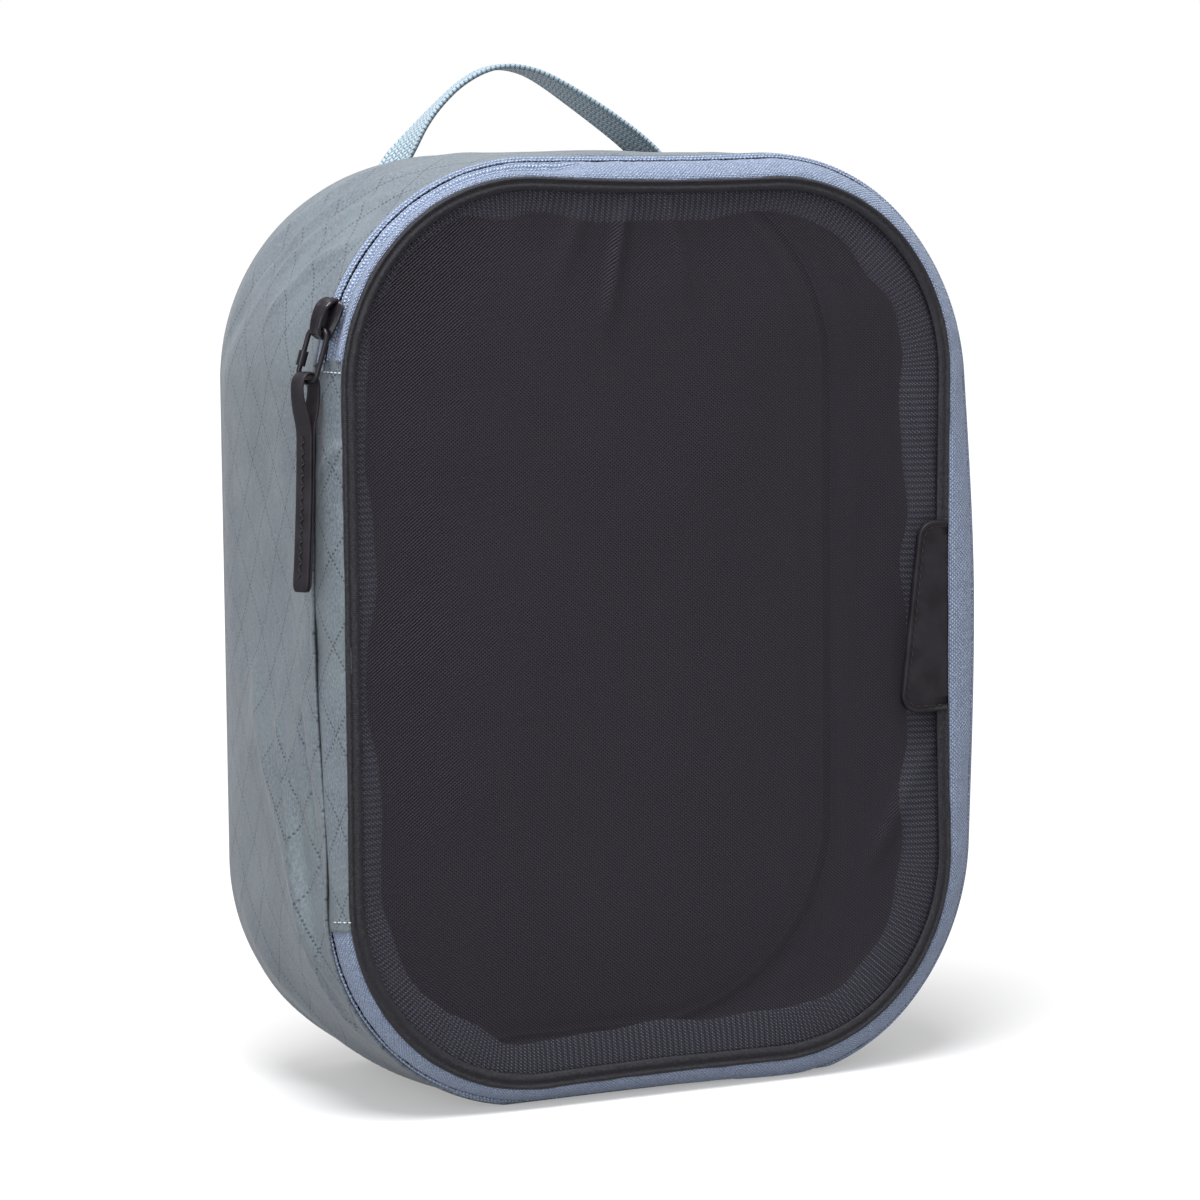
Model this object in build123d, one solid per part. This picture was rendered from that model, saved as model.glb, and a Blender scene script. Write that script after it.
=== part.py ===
"""Packing cube: a zipped fabric box with a see-through mesh lid, a grab handle and a corded zip puller.

X runs along the width, Y from the mesh lid (front, -Y) to the closed back (+Y), and Z is up.
The origin is in the middle of the flat bottom of the gusset, which the cube stands on.
"""
from build123d import *
import os
from math import atan2, cos, degrees, radians, sin

# Overall shape
WIDTH = 196.0
HEIGHT = 260.0
CORNER = 62.5
BACK_Y = 41.0
GUSSET_FRONT_Y = -29.0
GUSSET_BACK_Y = 39.5
FABRIC = 0.8
BACK_BINDING = 1.6
FRONT_BINDING = 1.2
SEAM_DEPTH = 6.0

# Zip: the line where the two coils meet, and how far the coils stand off it
ZIP_INSET = 3.34
ZIP_Y = -34.5
COIL_SIDE = 1.4
COIL_OFFSET = 1.24
TAPE = 0.6
TAPE_BACK_Y = -24.0
ZIP_LOW_Z = 54.0
ZIP_HIGH_Z = 203.0
LID_ZIP_START_Z = 226.0
STOP_LOW = 4.0
STOP_HIGH = 3.0

# Lid
WINDOW_INSET = 5.2
BINDING_FRONT_Y = -42.6
MESH_FRONT_Y = -41.8
MESH_BACK_Y = -41.2
SEAM_TAPE_BACK_Y = -40.4
BINDING_WIDTH = 3.6
SEAM_TAPE_WIDTH = 10.0
BAND_BACK_INSET = 3.6
BAND_THICKNESS = 0.8

# Fabric strip that the lid hinges on
STRIP_LAP_Y = -24.0
STRIP_BEND_Y = -31.0
STRIP_FRONT_Y = -42.0
STRIP_FRONT_INSET = 3.9
THREAD = 0.3
HEM = 2.5

# Slider, given by its place on the corner arc and how far it turns from the side to the front
SLIDER_ANGLE = 18.0
SLIDER_TILT = 25.0
SLIDER_LENGTH = 11.5
SLIDER_WIDTH = 8.4
PLATE_LOW = 2.6
PLATE_HIGH = 3.2
SOLE_LOW = -2.5
SOLE_HIGH = -1.75
SOLE_HALF = 3.6
FLANGE = 0.8
FLANGE_LOW = 1.3
POST_HALF = 0.5
CROWN_HALF = 1.3
CROWN_SLOT = (-4.2, 3.0)
CROWN_HOLLOW = 5.8
CROWN_TOP = 6.6
SPRING = 0.4
PULL_PIVOT = (0.0, -3.0, 4.7)

# Pull ring and strap
RING_LENGTH = 14.8
RING_WIDTH = 6.8
WIRE = 1.4
FERRULE_WALL = 0.6
FERRULE_LENGTH = 4.0
RING_FOOT = (-100.6, -35.6, 200.5)
STRAP_WIDTH = 5.0
STRAP_THICKNESS = 2.0
STRAP_LENGTH = 55.0
STRAP_TURN = -66.0
LOOP_RADIUS = 3.1
LOOP_HOLE = 2.3
LOOP_WIDTH = 2.4
STRAP_STITCHES = 16
STRAP_STITCH_START = 8.0
STRAP_STITCH_PITCH = 2.2

# Handle
HANDLE_X = -5.0
HANDLE_Y = 31.0
HANDLE_HALF_SPAN = 38.0
HANDLE_TOP_Z = 286.5
WEB_WIDTH = 12.0
WEB_THICKNESS = 1.4
HANDLE_PIVOT_Z = HEIGHT + WEB_WIDTH / 2 + 0.4
SEWN_INSET = 7.0
TAIL_LENGTH = 12.0

# Side tab
TAB_LOW_Z = 102.0
TAB_HIGH_Z = 156.5
TAB_FREE_X = 77.0
TAB_SEAM_X = 92.6
TAB_BACK_Y = -42.9
TAB_THICKNESS = 1.8
TAB_STITCH_INSET = 1.8
TAB_CORNER = 5.0


def outline(inset, y, facing=1):
    """Rounded front outline, drawn in from the widest one, as a face at depth y."""
    plane = Plane(origin=(0, y, HEIGHT / 2), x_dir=(1, 0, 0), z_dir=(0, facing, 0))
    return plane * RectangleRounded(WIDTH - 2 * inset, HEIGHT - 2 * inset, CORNER - inset)


def ring(outer, inner, y_front, y_back):
    """Straight-walled ring that follows the front outline."""
    depth = y_back - y_front
    return extrude(outline(outer, y_front), depth) - extrude(outline(inner, y_front), depth)


def band(back_inset, front_inset, thickness, y_back, y_front):
    """Ring whose wall leans inwards towards the front."""
    depth = y_back - y_front
    taper = degrees(atan2(front_inset - back_inset, depth))
    outer = extrude(outline(back_inset, y_back, -1), depth, taper=taper)
    inner = extrude(outline(back_inset + thickness, y_back, -1), depth, taper=taper)
    return outer - inner


def left_block(z_low, z_high):
    """Block over the left side of the cube between two heights."""
    return Pos(-WIDTH / 2, 0, (z_low + z_high) / 2) * Box(WIDTH * 0.7, 200, z_high - z_low)


def coil(side, z_low, z_high):
    """One coil of the zip, on the gusset's side (+1) or the lid's side (-1)."""
    inset = ZIP_INSET - side * COIL_OFFSET
    y = ZIP_Y + side * COIL_OFFSET
    half = COIL_SIDE / 2
    return ring(inset - half, inset + half, y - half, y + half) - left_block(z_low, z_high)


def slider_plane():
    """Frame of the slider: x across the tape, y along the zip, z out of the fabric."""
    angle = radians(SLIDER_ANGLE)
    tilt = radians(SLIDER_TILT)
    radius = CORNER - ZIP_INSET
    radial = Vector(-cos(angle), 0, sin(angle))
    front = Vector(0, -1, 0)
    centre = Vector(CORNER - WIDTH / 2, ZIP_Y, HEIGHT - CORNER) + radial * radius
    across = front * cos(tilt) - radial * sin(tilt)
    out = radial * cos(tilt) + front * sin(tilt)
    return Plane(origin=centre, x_dir=across, z_dir=out)


def slider_solid(x0, x1, y0, y1, z0, z1):
    """Block in the slider's own frame."""
    size = (x1 - x0, y1 - y0, z1 - z0)
    return Pos((x0 + x1) / 2, (y0 + y1) / 2, (z0 + z1) / 2) * Box(*size)


# Shell

def back_panel():
    panel = extrude(outline(0.4, GUSSET_BACK_Y), BACK_Y - GUSSET_BACK_Y)
    return fillet(panel.faces().sort_by(Axis.Y)[-1].edges(), 1.0)


def side_gusset():
    return ring(0, FABRIC, GUSSET_FRONT_Y, GUSSET_BACK_Y)


def back_seam_binding():
    return ring(FABRIC, FABRIC + BACK_BINDING, GUSSET_BACK_Y - SEAM_DEPTH, GUSSET_BACK_Y)


def gusset_zip_tape():
    return ring(FABRIC, FABRIC + TAPE, ZIP_Y + 0.5, TAPE_BACK_Y) - left_block(ZIP_LOW_Z, ZIP_HIGH_Z)


def gusset_zip_coil():
    return coil(1, ZIP_LOW_Z - STOP_LOW, ZIP_HIGH_Z + STOP_HIGH)


def zip_end_stops():
    inset = ZIP_INSET - COIL_OFFSET
    half = COIL_SIDE / 2
    y = ZIP_Y + COIL_OFFSET
    block = ring(inset - half, inset + half + 0.3, y - half, y + half)
    low = block & left_block(ZIP_LOW_Z - STOP_LOW, ZIP_LOW_Z - 1)
    high = block & left_block(ZIP_HIGH_Z, ZIP_HIGH_Z + STOP_HIGH)
    return Compound(low.solids() + high.solids())


def gusset_seam_binding():
    inner = FABRIC + TAPE
    binding = ring(inner, inner + FRONT_BINDING, GUSSET_FRONT_Y, TAPE_BACK_Y)
    return binding - left_block(ZIP_LOW_Z, ZIP_HIGH_Z)


def hinge_strip():
    lap = ring(FABRIC, 2 * FABRIC, STRIP_BEND_Y, STRIP_LAP_Y)
    lean = band(FABRIC, STRIP_FRONT_INSET, FABRIC, STRIP_BEND_Y, STRIP_FRONT_Y)
    return (lap + lean) & left_block(ZIP_LOW_Z, ZIP_HIGH_Z)


def strip_end_stitches():
    thread = band(FABRIC - THREAD, STRIP_FRONT_INSET - THREAD, THREAD, STRIP_BEND_Y, STRIP_FRONT_Y)
    near, far = HEM, HEM + 2 * THREAD
    low = thread & left_block(ZIP_LOW_Z + near, ZIP_LOW_Z + far)
    high = thread & left_block(ZIP_HIGH_Z - far, ZIP_HIGH_Z - near)
    return Compound(low.solids() + high.solids())


# Lid

def window_binding():
    return ring(WINDOW_INSET, WINDOW_INSET + BINDING_WIDTH, BINDING_FRONT_Y, MESH_FRONT_Y)


def mesh_window():
    return extrude(outline(WINDOW_INSET, MESH_FRONT_Y), MESH_BACK_Y - MESH_FRONT_Y)


def lid_seam_tape():
    return ring(WINDOW_INSET, WINDOW_INSET + SEAM_TAPE_WIDTH, MESH_BACK_Y, SEAM_TAPE_BACK_Y)


def lid_zip_tape():
    back_y = ZIP_Y - COIL_OFFSET - COIL_SIDE / 2
    tape = band(BAND_BACK_INSET, WINDOW_INSET, BAND_THICKNESS, back_y, SEAM_TAPE_BACK_Y)
    return tape - left_block(ZIP_LOW_Z, LID_ZIP_START_Z)


def lid_zip_coil():
    return coil(-1, ZIP_LOW_Z, LID_ZIP_START_Z)


# Slider and puller

def slider_body():
    half = SLIDER_WIDTH / 2
    end = SLIDER_LENGTH / 2
    plate = slider_solid(-half, half, -end, end, PLATE_LOW, PLATE_HIGH)
    plate = fillet(plate.edges().filter_by(Axis.Z), 1.8)
    flange = slider_solid(-half, -half + FLANGE, -end + 2, end - 2, FLANGE_LOW, PLATE_LOW)
    sole = slider_solid(-SOLE_HALF, SOLE_HALF, -end, end, SOLE_LOW, SOLE_HIGH)
    sole = fillet(sole.edges().filter_by(Axis.Z), 1.5)
    post = slider_solid(-POST_HALF, POST_HALF, -end + 0.8, -end + 2.4, SOLE_HIGH, PLATE_LOW)
    return slider_plane() * (plate + flange + sole + post)


def slider_crown():
    y0, y1 = CROWN_SLOT
    arch = slider_solid(-CROWN_HALF, CROWN_HALF, y0 - 1, y1 + 1.4, PLATE_HIGH, CROWN_TOP)
    ends = arch.edges().filter_by(Axis.X).group_by(Axis.Z)[-1]
    hollow = slider_solid(-CROWN_HALF - 1, CROWN_HALF + 1, y0, y1, PLATE_HIGH, CROWN_HOLLOW)
    return slider_plane() * (fillet(ends, 1.6) - hollow)


def slider_lock_spring():
    y0, y1 = CROWN_SLOT
    leaf = slider_solid(-POST_HALF, POST_HALF, 0.4, y1, PLATE_HIGH, PLATE_HIGH + SPRING)
    leg = slider_solid(-POST_HALF, POST_HALF, y1 - 1.5 * SPRING, y1, PLATE_HIGH + SPRING, 5.0)
    return slider_plane() * (leaf + leg)


def ring_plane():
    """Frame of the pull ring: x along the crown's pin line, y up its length, origin at its top bar."""
    top = slider_plane().from_local_coords(Vector(*PULL_PIVOT))
    up = (top - Vector(*RING_FOOT)).normalized()
    across = slider_plane().x_dir
    side = (across - up * across.dot(up)).normalized()
    return Plane(origin=top, x_dir=side, z_dir=side.cross(up))


def pull_ring():
    """Wire ring, bent from one piece: a stadium with its top bar on the origin."""
    radius = RING_WIDTH / 2
    centre_line = Pos(0, -RING_LENGTH / 2) * RectangleRounded(RING_WIDTH, RING_LENGTH, radius - 0.4)
    start = Vector(RING_WIDTH / 2, -RING_LENGTH / 2, 0)
    section = Plane(origin=start, z_dir=(0, 1, 0)) * Circle(WIRE / 2)
    return ring_plane() * sweep(section, path=centre_line.wire())


def ring_ferrule():
    sleeve = Cylinder(WIRE / 2 + FERRULE_WALL, FERRULE_LENGTH) - Cylinder(WIRE / 2, FERRULE_LENGTH)
    place = Pos(-RING_WIDTH / 2, -RING_LENGTH * 0.6, 0) * Rot(90, 0, 0)
    return ring_plane() * place * sleeve


def strap_plane():
    """Frame of the strap: x across it, y up, origin in the middle of the ring's lower bar."""
    foot = ring_plane().from_local_coords(Vector(0, -RING_LENGTH, 0))
    turn = radians(STRAP_TURN)
    across = Vector(cos(turn), sin(turn), 0)
    return Plane(origin=foot, x_dir=across, z_dir=across.cross(Vector(0, 0, 1)))


def pull_strap():
    """Band folded over the ring: a round loop and two layers sewn flat below it."""
    loop = Rot(0, 90, 0) * Cylinder(LOOP_RADIUS, LOOP_WIDTH)
    hole = Rot(0, 90, 0) * Cylinder(LOOP_HOLE, STRAP_WIDTH + 1)
    size = (STRAP_WIDTH, STRAP_LENGTH, STRAP_THICKNESS)
    tail = Pos(0, -STRAP_LENGTH / 2 - LOOP_HOLE - 0.3, 0) * Box(*size)
    tail = fillet(tail.edges().filter_by(Axis.Z).group_by(Axis.Y)[0], 1.0)
    return strap_plane() * ((loop + tail) - hole)


def strap_stitching():
    """Row of raised stitches down both faces of the strap."""
    stitches = []
    side = STRAP_THICKNESS / 2 + THREAD / 2
    for face in (-1, 1):
        for k in range(STRAP_STITCHES):
            place = Pos(0, -STRAP_STITCH_START - STRAP_STITCH_PITCH * k, face * side)
            stitches.append(strap_plane() * place * Box(0.9, 1.4, THREAD))
    return Compound(stitches)


# Handle

def handle_webbing():
    """Arched webbing with rounded feet, so that it can swing over the gusset."""
    half = HANDLE_HALF_SPAN
    low = HEIGHT
    outer = ThreePointArc((-half, low), (0, HANDLE_TOP_Z), (half, low))
    inner_half = half - WEB_THICKNESS
    inner = ThreePointArc((-inner_half, low), (0, HANDLE_TOP_Z - WEB_THICKNESS), (inner_half, low))
    feet = [Line((-half, low), (-inner_half, low)), Line((half, low), (inner_half, low))]
    plane = Plane(origin=(HANDLE_X, HANDLE_Y + WEB_WIDTH / 2, 0), x_dir=(1, 0, 0), z_dir=(0, -1, 0))
    arch = extrude(plane * make_face([outer, inner] + feet), WEB_WIDTH)
    pivot = Pos(HANDLE_X, HANDLE_Y, HANDLE_PIVOT_Z)
    keep_round = pivot * Rot(0, 90, 0) * Cylinder(WEB_WIDTH / 2, 2 * half + 10)
    keep_above = pivot * Pos(0, 0, 20) * Box(2 * half + 10, WEB_WIDTH + 2, 40)
    return arch & (keep_round + keep_above)


def handle_tails():
    """Ends of the webbing, turned in and sewn under the top of the gusset."""
    tails = []
    for side in (-1, 1):
        x = HANDLE_X + side * (HANDLE_HALF_SPAN - SEWN_INSET)
        tail = Box(TAIL_LENGTH, WEB_WIDTH, WEB_THICKNESS - 0.6)
        tails.append(Pos(x, HANDLE_Y - 4, HEIGHT - FABRIC - 1.0) * tail)
    return Compound(tails)


def handle_bartacks():
    """Dense bar of stitches across the foot of each end of the webbing."""
    tacks = []
    for side in (-1, 1):
        x = HANDLE_X + side * (HANDLE_HALF_SPAN - SEWN_INSET)
        tacks.append(Pos(x, HANDLE_Y, HEIGHT + THREAD / 2) * Box(2.4, WEB_WIDTH - 2, THREAD))
    return Compound(tacks)


# Side tab

def tab_plate(inset, thickness, back_y):
    """Plate with the tab's outline: square at the seam and rounded at its free corners."""
    width = TAB_SEAM_X - TAB_FREE_X - 2 * inset
    height = TAB_HIGH_Z - TAB_LOW_Z - 2 * inset
    place = Pos((TAB_SEAM_X + TAB_FREE_X) / 2, back_y - thickness / 2, (TAB_LOW_Z + TAB_HIGH_Z) / 2)
    plate = place * Box(width, thickness, height)
    corners = plate.edges().filter_by(Axis.Y).group_by(Axis.X)[0]
    return fillet(corners, TAB_CORNER - inset)


def side_tab():
    return tab_plate(0, TAB_THICKNESS, TAB_BACK_Y)


def side_tab_stitching():
    front = TAB_BACK_Y - TAB_THICKNESS
    return tab_plate(TAB_STITCH_INSET, THREAD, front) - tab_plate(TAB_STITCH_INSET + 0.5, THREAD, front)


SUB_PARTS = [
    back_panel, side_gusset, back_seam_binding, gusset_zip_tape, gusset_zip_coil, zip_end_stops,
    gusset_seam_binding, hinge_strip, strip_end_stitches, handle_tails, handle_bartacks,
    window_binding, mesh_window, lid_seam_tape, lid_zip_tape, lid_zip_coil,
    slider_body, slider_crown, slider_lock_spring, pull_ring, ring_ferrule,
    pull_strap, strap_stitching, handle_webbing, side_tab, side_tab_stitching,
]

os.makedirs("parts", exist_ok=True)
for make in SUB_PARTS:
    export_step(make(), f"parts/{make.__name__}.step")
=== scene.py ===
"""Looks of the packing cube: soft fabric shell, knitted zip band, see-through mesh lid, handle and puller.

Distances are in metres. The cloth follows one rounded outline, which the frame gives: a place on it is
s, the distance along the outline from the middle of the left side, up, over the top and round, and inset,
the distance in from it. Depth is y, with the mesh lid at -y.
"""
from math import cos, pi, radians, sin

import bmesh
import bpy
import numpy as np
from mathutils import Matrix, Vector
from mathutils.geometry import delaunay_2d_cdt


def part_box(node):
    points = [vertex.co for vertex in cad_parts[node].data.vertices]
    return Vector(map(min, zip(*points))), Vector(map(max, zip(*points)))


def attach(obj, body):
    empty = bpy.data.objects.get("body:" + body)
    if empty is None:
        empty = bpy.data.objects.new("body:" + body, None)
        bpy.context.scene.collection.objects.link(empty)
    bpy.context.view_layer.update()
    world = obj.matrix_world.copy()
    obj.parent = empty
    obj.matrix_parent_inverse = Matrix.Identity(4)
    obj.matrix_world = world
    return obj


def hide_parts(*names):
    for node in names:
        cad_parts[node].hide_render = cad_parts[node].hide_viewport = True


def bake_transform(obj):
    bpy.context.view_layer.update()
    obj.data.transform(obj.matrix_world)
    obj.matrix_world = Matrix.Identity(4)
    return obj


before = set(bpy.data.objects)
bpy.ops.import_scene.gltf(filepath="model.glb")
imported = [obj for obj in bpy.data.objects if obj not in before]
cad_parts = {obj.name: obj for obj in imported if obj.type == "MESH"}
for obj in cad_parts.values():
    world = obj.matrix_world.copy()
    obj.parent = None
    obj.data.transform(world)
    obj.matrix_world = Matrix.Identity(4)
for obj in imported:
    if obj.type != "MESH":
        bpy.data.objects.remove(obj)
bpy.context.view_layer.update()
MM = 0.001

# ---- Driving sizes, from the frame ----

GUSSET_LOW, GUSSET_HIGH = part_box("side_gusset")
HALF_W = (GUSSET_HIGH.x - GUSSET_LOW.x) / 2
HALF_H = (GUSSET_HIGH.z - GUSSET_LOW.z) / 2
CENTRE_Z = (GUSSET_HIGH.z + GUSSET_LOW.z) / 2
CORNER = 62.5 * MM
RUN_UP = HALF_H - CORNER
RUN_ACROSS = 2 * (HALF_W - CORNER)
ARC = pi / 2 * CORNER
PERIMETER = 4 * RUN_UP + 2 * RUN_ACROSS + 4 * ARC
BACK_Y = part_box("back_panel")[1].y
HANDLE_LOW, HANDLE_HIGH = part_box("handle_webbing")
HANDLE_X = (HANDLE_LOW.x + HANDLE_HIGH.x) / 2
HANDLE_Y = (HANDLE_LOW.y + HANDLE_HIGH.y) / 2
WEB_WIDTH = HANDLE_HIGH.y - HANDLE_LOW.y
TAB_LOW, TAB_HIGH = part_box("side_tab")

# The hinge strip ends, and the zip begins, this far round the left corners.
STRIP_END_ANGLE = 0.136
ZIP_TOP_S = RUN_UP + CORNER * STRIP_END_ANGLE
ZIP_BOTTOM_S = PERIMETER - RUN_UP - CORNER * STRIP_END_ANGLE

# The slider stands on the top left corner, tilted towards the front, and runs to the corner's end.
ZIP_INSET = 3.34 * MM
ZIP_Y = -34.5 * MM
SLIDER_ANGLE = radians(18)
SLIDER_TILT = radians(25)
SLIDER_S = RUN_UP + CORNER * SLIDER_ANGLE
SLIDER_TRAVEL = radians(72) * CORNER
SLIDER_HALF_LENGTH = 5.75 * MM
STRAP_TURN = radians(-66)
STRAP_LENGTH = 55.2 * MM

# Cloth: thickness, seams, and how the zip tape lies over its coils.
CLOTH = 0.9 * MM
SEAM_INSET = 0.9 * MM
BINDING_WIDTH = 3.6 * MM
STRIP_SPACING = 1.0 * MM
COVER = 0.85 * MM
COIL_SIDE = 0.95 * MM

# Patterns: pitches of ribs, loops, net and diamonds, and the length of the diamonds' dashes.
RIB_PITCH = 1.7 * MM
KNIT_PITCH = 1.7 * MM
NET_PITCH = 1.15 * MM
DIAMOND_LONG = PERIMETER / 34
DIAMOND_WIDE = 15.3 * MM
DASH = 1.25 * MM

DIAGONAL = 0.5 ** 0.5
FORWARD = np.array([0, -1.0, 0])
UPWARD = np.array([0, 0, 1.0])


# ---- Outline ----

def outline(s):
    """Points x, z on the outline and its outward normal, at distances s along it."""
    s = np.mod(np.asarray(s, float), PERIMETER)
    lengths = [RUN_UP, ARC, RUN_ACROSS, ARC, 2 * RUN_UP, ARC, RUN_ACROSS, ARC, RUN_UP]
    starts = np.concatenate([[0], np.cumsum(lengths)])
    k = np.clip(np.searchsorted(starts, s, side="right") - 1, 0, 8)
    t = s - starts[k]
    x, z = np.zeros_like(s), np.zeros_like(s)
    angle = np.zeros_like(s)
    left, right = -(HALF_W - CORNER), HALF_W - CORNER
    low, high = CENTRE_Z - RUN_UP, CENTRE_Z + RUN_UP
    straight = {
        0: (-HALF_W, CENTRE_Z, 0, 1, pi), 2: (left, high + CORNER, 1, 0, pi / 2),
        4: (HALF_W, high, 0, -1, 0), 6: (right, low - CORNER, -1, 0, -pi / 2), 8: (-HALF_W, low, 0, 1, pi),
    }
    for i, (x0, z0, dx, dz, a) in straight.items():
        m = k == i
        x[m], z[m], angle[m] = x0 + dx * t[m], z0 + dz * t[m], a
    corners = {1: (left, high, pi), 3: (right, high, pi / 2), 5: (right, low, 0), 7: (left, low, -pi / 2)}
    for i, (cx, cz, a) in corners.items():
        m = k == i
        angle[m] = a - t[m] / CORNER
        x[m], z[m] = cx + CORNER * np.cos(angle[m]), cz + CORNER * np.sin(angle[m])
    return x, z, np.cos(angle), np.sin(angle)


def around(s, left, top_left, top, top_right, right, bottom_right, bottom, bottom_left):
    """Value that changes smoothly round the outline, from those at the middles of sides and corners."""
    corner = RUN_UP + ARC / 2
    side = ARC / 2 + RUN_ACROSS / 2
    at = np.cumsum([0, corner, side, side, corner, corner, side, side, corner])
    values = [left, top_left, top, top_right, right, bottom_right, bottom, bottom_left, left]
    values = np.array(values, float)
    s = np.mod(np.asarray(s, float), PERIMETER)
    k = np.clip(np.searchsorted(at, s, side="right") - 1, 0, 7)
    t = smooth_step((s - at[k]) / (at[k + 1] - at[k]))
    return values[k] * (1 - t) + values[k + 1] * t


def place(s, inset, y):
    """Grid of points from s, inset and y, which broadcast together."""
    s, inset, y = np.broadcast_arrays(s, inset, y)
    x, z, nx, nz = outline(s)
    return np.stack([x - inset * nx, y + 0 * x, z - inset * nz], -1)


def coil_line(s):
    """Inset and depth of the line where the two halves of the zip meet."""
    inset = around(s, 3.3, 3.3, 2.7, 0.6, -4.2, -1.6, 1.3, 1.8) * MM
    y = around(s, -34.5, -34.5, -34.7, -35.5, -36.5, -36.0, -34.8, -34.5) * MM
    return inset, y


def window_edge(s):
    """Inset and depth of the outer edge of the mesh window's binding."""
    inset = around(s, 5.0, 5.0, 7.4, 5.4, 7.2, 5.2, 6.0, 4.6) * MM
    return inset, around(s, -42.2, -42.2, -42.3, -42.6, -43.6, -42.8, -42.3, -42.2) * MM


def smooth_step(t):
    t = np.clip(t, 0, 1)
    return t * t * (3 - 2 * t)


def from_left(s):
    """Distance along the outline from the middle of the left side: negative below it."""
    return np.mod(s + PERIMETER / 2, PERIMETER) - PERIMETER / 2


def bell(away, width):
    """1 at a place, falling off smoothly to both sides over about width."""
    return np.exp(-(away / width) ** 2)


def near_path(s):
    """1 along the stretch that the slider runs over, fading to 0 beyond its ends."""
    margin, fade = 7 * MM, 12 * MM
    beyond = np.abs(s - SLIDER_S - SLIDER_TRAVEL / 2) - SLIDER_TRAVEL / 2
    return 1 - smooth_step((beyond - margin) / fade)


# ---- Cloth noise and folds ----

HASH_PRIMES = np.array([374761393, 668265263, 2147483647])
HASH_SEED = 1274126177
HASH_MIX = 1103515245


def lattice_noise(p, scale, seed):
    """Smooth noise from -1 to 1 at points p, with features about scale metres wide."""
    q = np.asarray(p, float) / scale
    base = np.floor(q).astype(np.int64)
    f = smooth_step(q - base)
    total = np.zeros(q.shape[:-1])
    for corner in range(8):
        offset = np.array([corner & 1, corner >> 1 & 1, corner >> 2 & 1])
        cell = base + offset
        h = cell @ HASH_PRIMES + seed * HASH_SEED
        h = (h ^ (h >> 13)) * HASH_MIX
        h = (h ^ (h >> 16)) & 0xFFFF
        weight = np.prod(np.where(offset == 1, f, 1 - f), -1)
        total += weight * (h / 32767.5 - 1)
    return total


def cloth_noise(points, *layers):
    """Sum of layers of noise, each given by its height and scale in millimetres and its seed."""
    return sum(height * MM * lattice_noise(points, scale * MM, seed) for height, scale, seed in layers)


def fold(a, b, start, end, width, height):
    """A soft ridge (or valley, if height is negative) along a line in the cloth, fading at both ends."""
    (a0, b0), (a1, b1) = start, end
    da, db = a1 - a0, b1 - b0
    length_2 = da * da + db * db
    t = ((a - a0) * da + (b - b0) * db) / length_2
    away = ((a - a0) * db - (b - b0) * da) / np.sqrt(length_2)
    fade = np.clip(1 - (2 * np.clip(t, -0.3, 1.3) - 1) ** 4 / 1.6, 0, 1)
    return height * bell(away, width) * fade * (np.abs(t - 0.5) < 0.8)


def with_folds(height, a, b, folds, origin=0.0, strength=1.0):
    """Adds folds to a cloth's height. Each is (start, end, width, height), in millimetres from origin."""
    for (a0, b0), (a1, b1), width, ridge in folds:
        start, end = (origin + a0 * MM, b0 * MM), (origin + a1 * MM, b1 * MM)
        height = height + strength * fold(a, b, start, end, width * MM, ridge * MM)
    return height


def push(points, amount, closed_u=False):
    """Moves a grid of points outwards: its second direction runs from the back towards the window."""
    if closed_u:
        du = np.roll(points, -1, 0) - np.roll(points, 1, 0)
    else:
        du = np.gradient(points, axis=0)
    n = np.cross(np.gradient(points, axis=1), du)
    n /= np.maximum(np.linalg.norm(n, axis=-1, keepdims=True), 1e-12)
    return points + n * np.asarray(amount)[..., None]


# ---- Meshes ----

def new_object(name, vertices, faces, uvs, material):
    mesh = bpy.data.meshes.new(name)
    mesh.from_pydata([tuple(v) for v in vertices], [], [tuple(f) for f in faces])
    if uvs is not None:
        layer = mesh.uv_layers.new(name="cloth")
        layer.data.foreach_set("uv", np.asarray(uvs, np.float32).ravel())
    mesh.polygons.foreach_set("use_smooth", [True] * len(mesh.polygons))
    mesh.update()
    obj = bpy.data.objects.new(name, mesh)
    bpy.context.scene.collection.objects.link(obj)
    obj.data.materials.append(material)
    return obj


def dress(piece, node, body):
    """Hides the CAD node that a piece stands for and puts the piece on the body it rides on."""
    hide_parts(node)
    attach(piece, body)


def grid_object(name, points, u, v, material, closed_u=False, closed_v=False):
    """Mesh from a grid of points; u and v are the cloth's own coordinates, in metres, for its weave."""
    nu, nv = points.shape[:2]
    iu = np.arange(nu if closed_u else nu - 1)
    iv = np.arange(nv if closed_v else nv - 1)
    gu, gv = np.meshgrid(iu, iv, indexing="ij")
    gu, gv = gu.ravel(), gv.ravel()
    hu, hv = (gu + 1) % nu, (gv + 1) % nv
    faces = np.stack([gu * nv + gv, gu * nv + hv, hu * nv + hv, hu * nv + gv], 1)
    step_u = u[-1] - u[-2]
    step_v = v[-1] - v[-2]
    u_next = np.where(hu == 0, u[-1] + step_u, u[hu])
    v_next = np.where(hv == 0, v[-1] + step_v, v[hv])
    uvs = np.stack([u[gu], v[gv], u[gu], v_next, u_next, v_next, u_next, v[gv]], 1)
    return new_object(name, points.reshape(-1, 3), faces, uvs, material)


def above_floor(points, height):
    """Lifts points that would dip below a height over the floor."""
    points = np.array(points)
    points[..., 2] = np.maximum(points[..., 2], height)
    return points


def part_way(a, b, k):
    """Place a share k of the way from a to b."""
    return a + (b - a) * k


def distance_along(path):
    """Distance along a path of points, from its first, at each of them."""
    return np.concatenate([[0], np.cumsum(np.linalg.norm(np.diff(path, axis=0), axis=1))])


def point_at(d, along, rows):
    """Coordinates at a distance d, from rows of coordinates at the distances along."""
    return np.array([np.interp(d, along, column) for column in rows.T])


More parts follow.
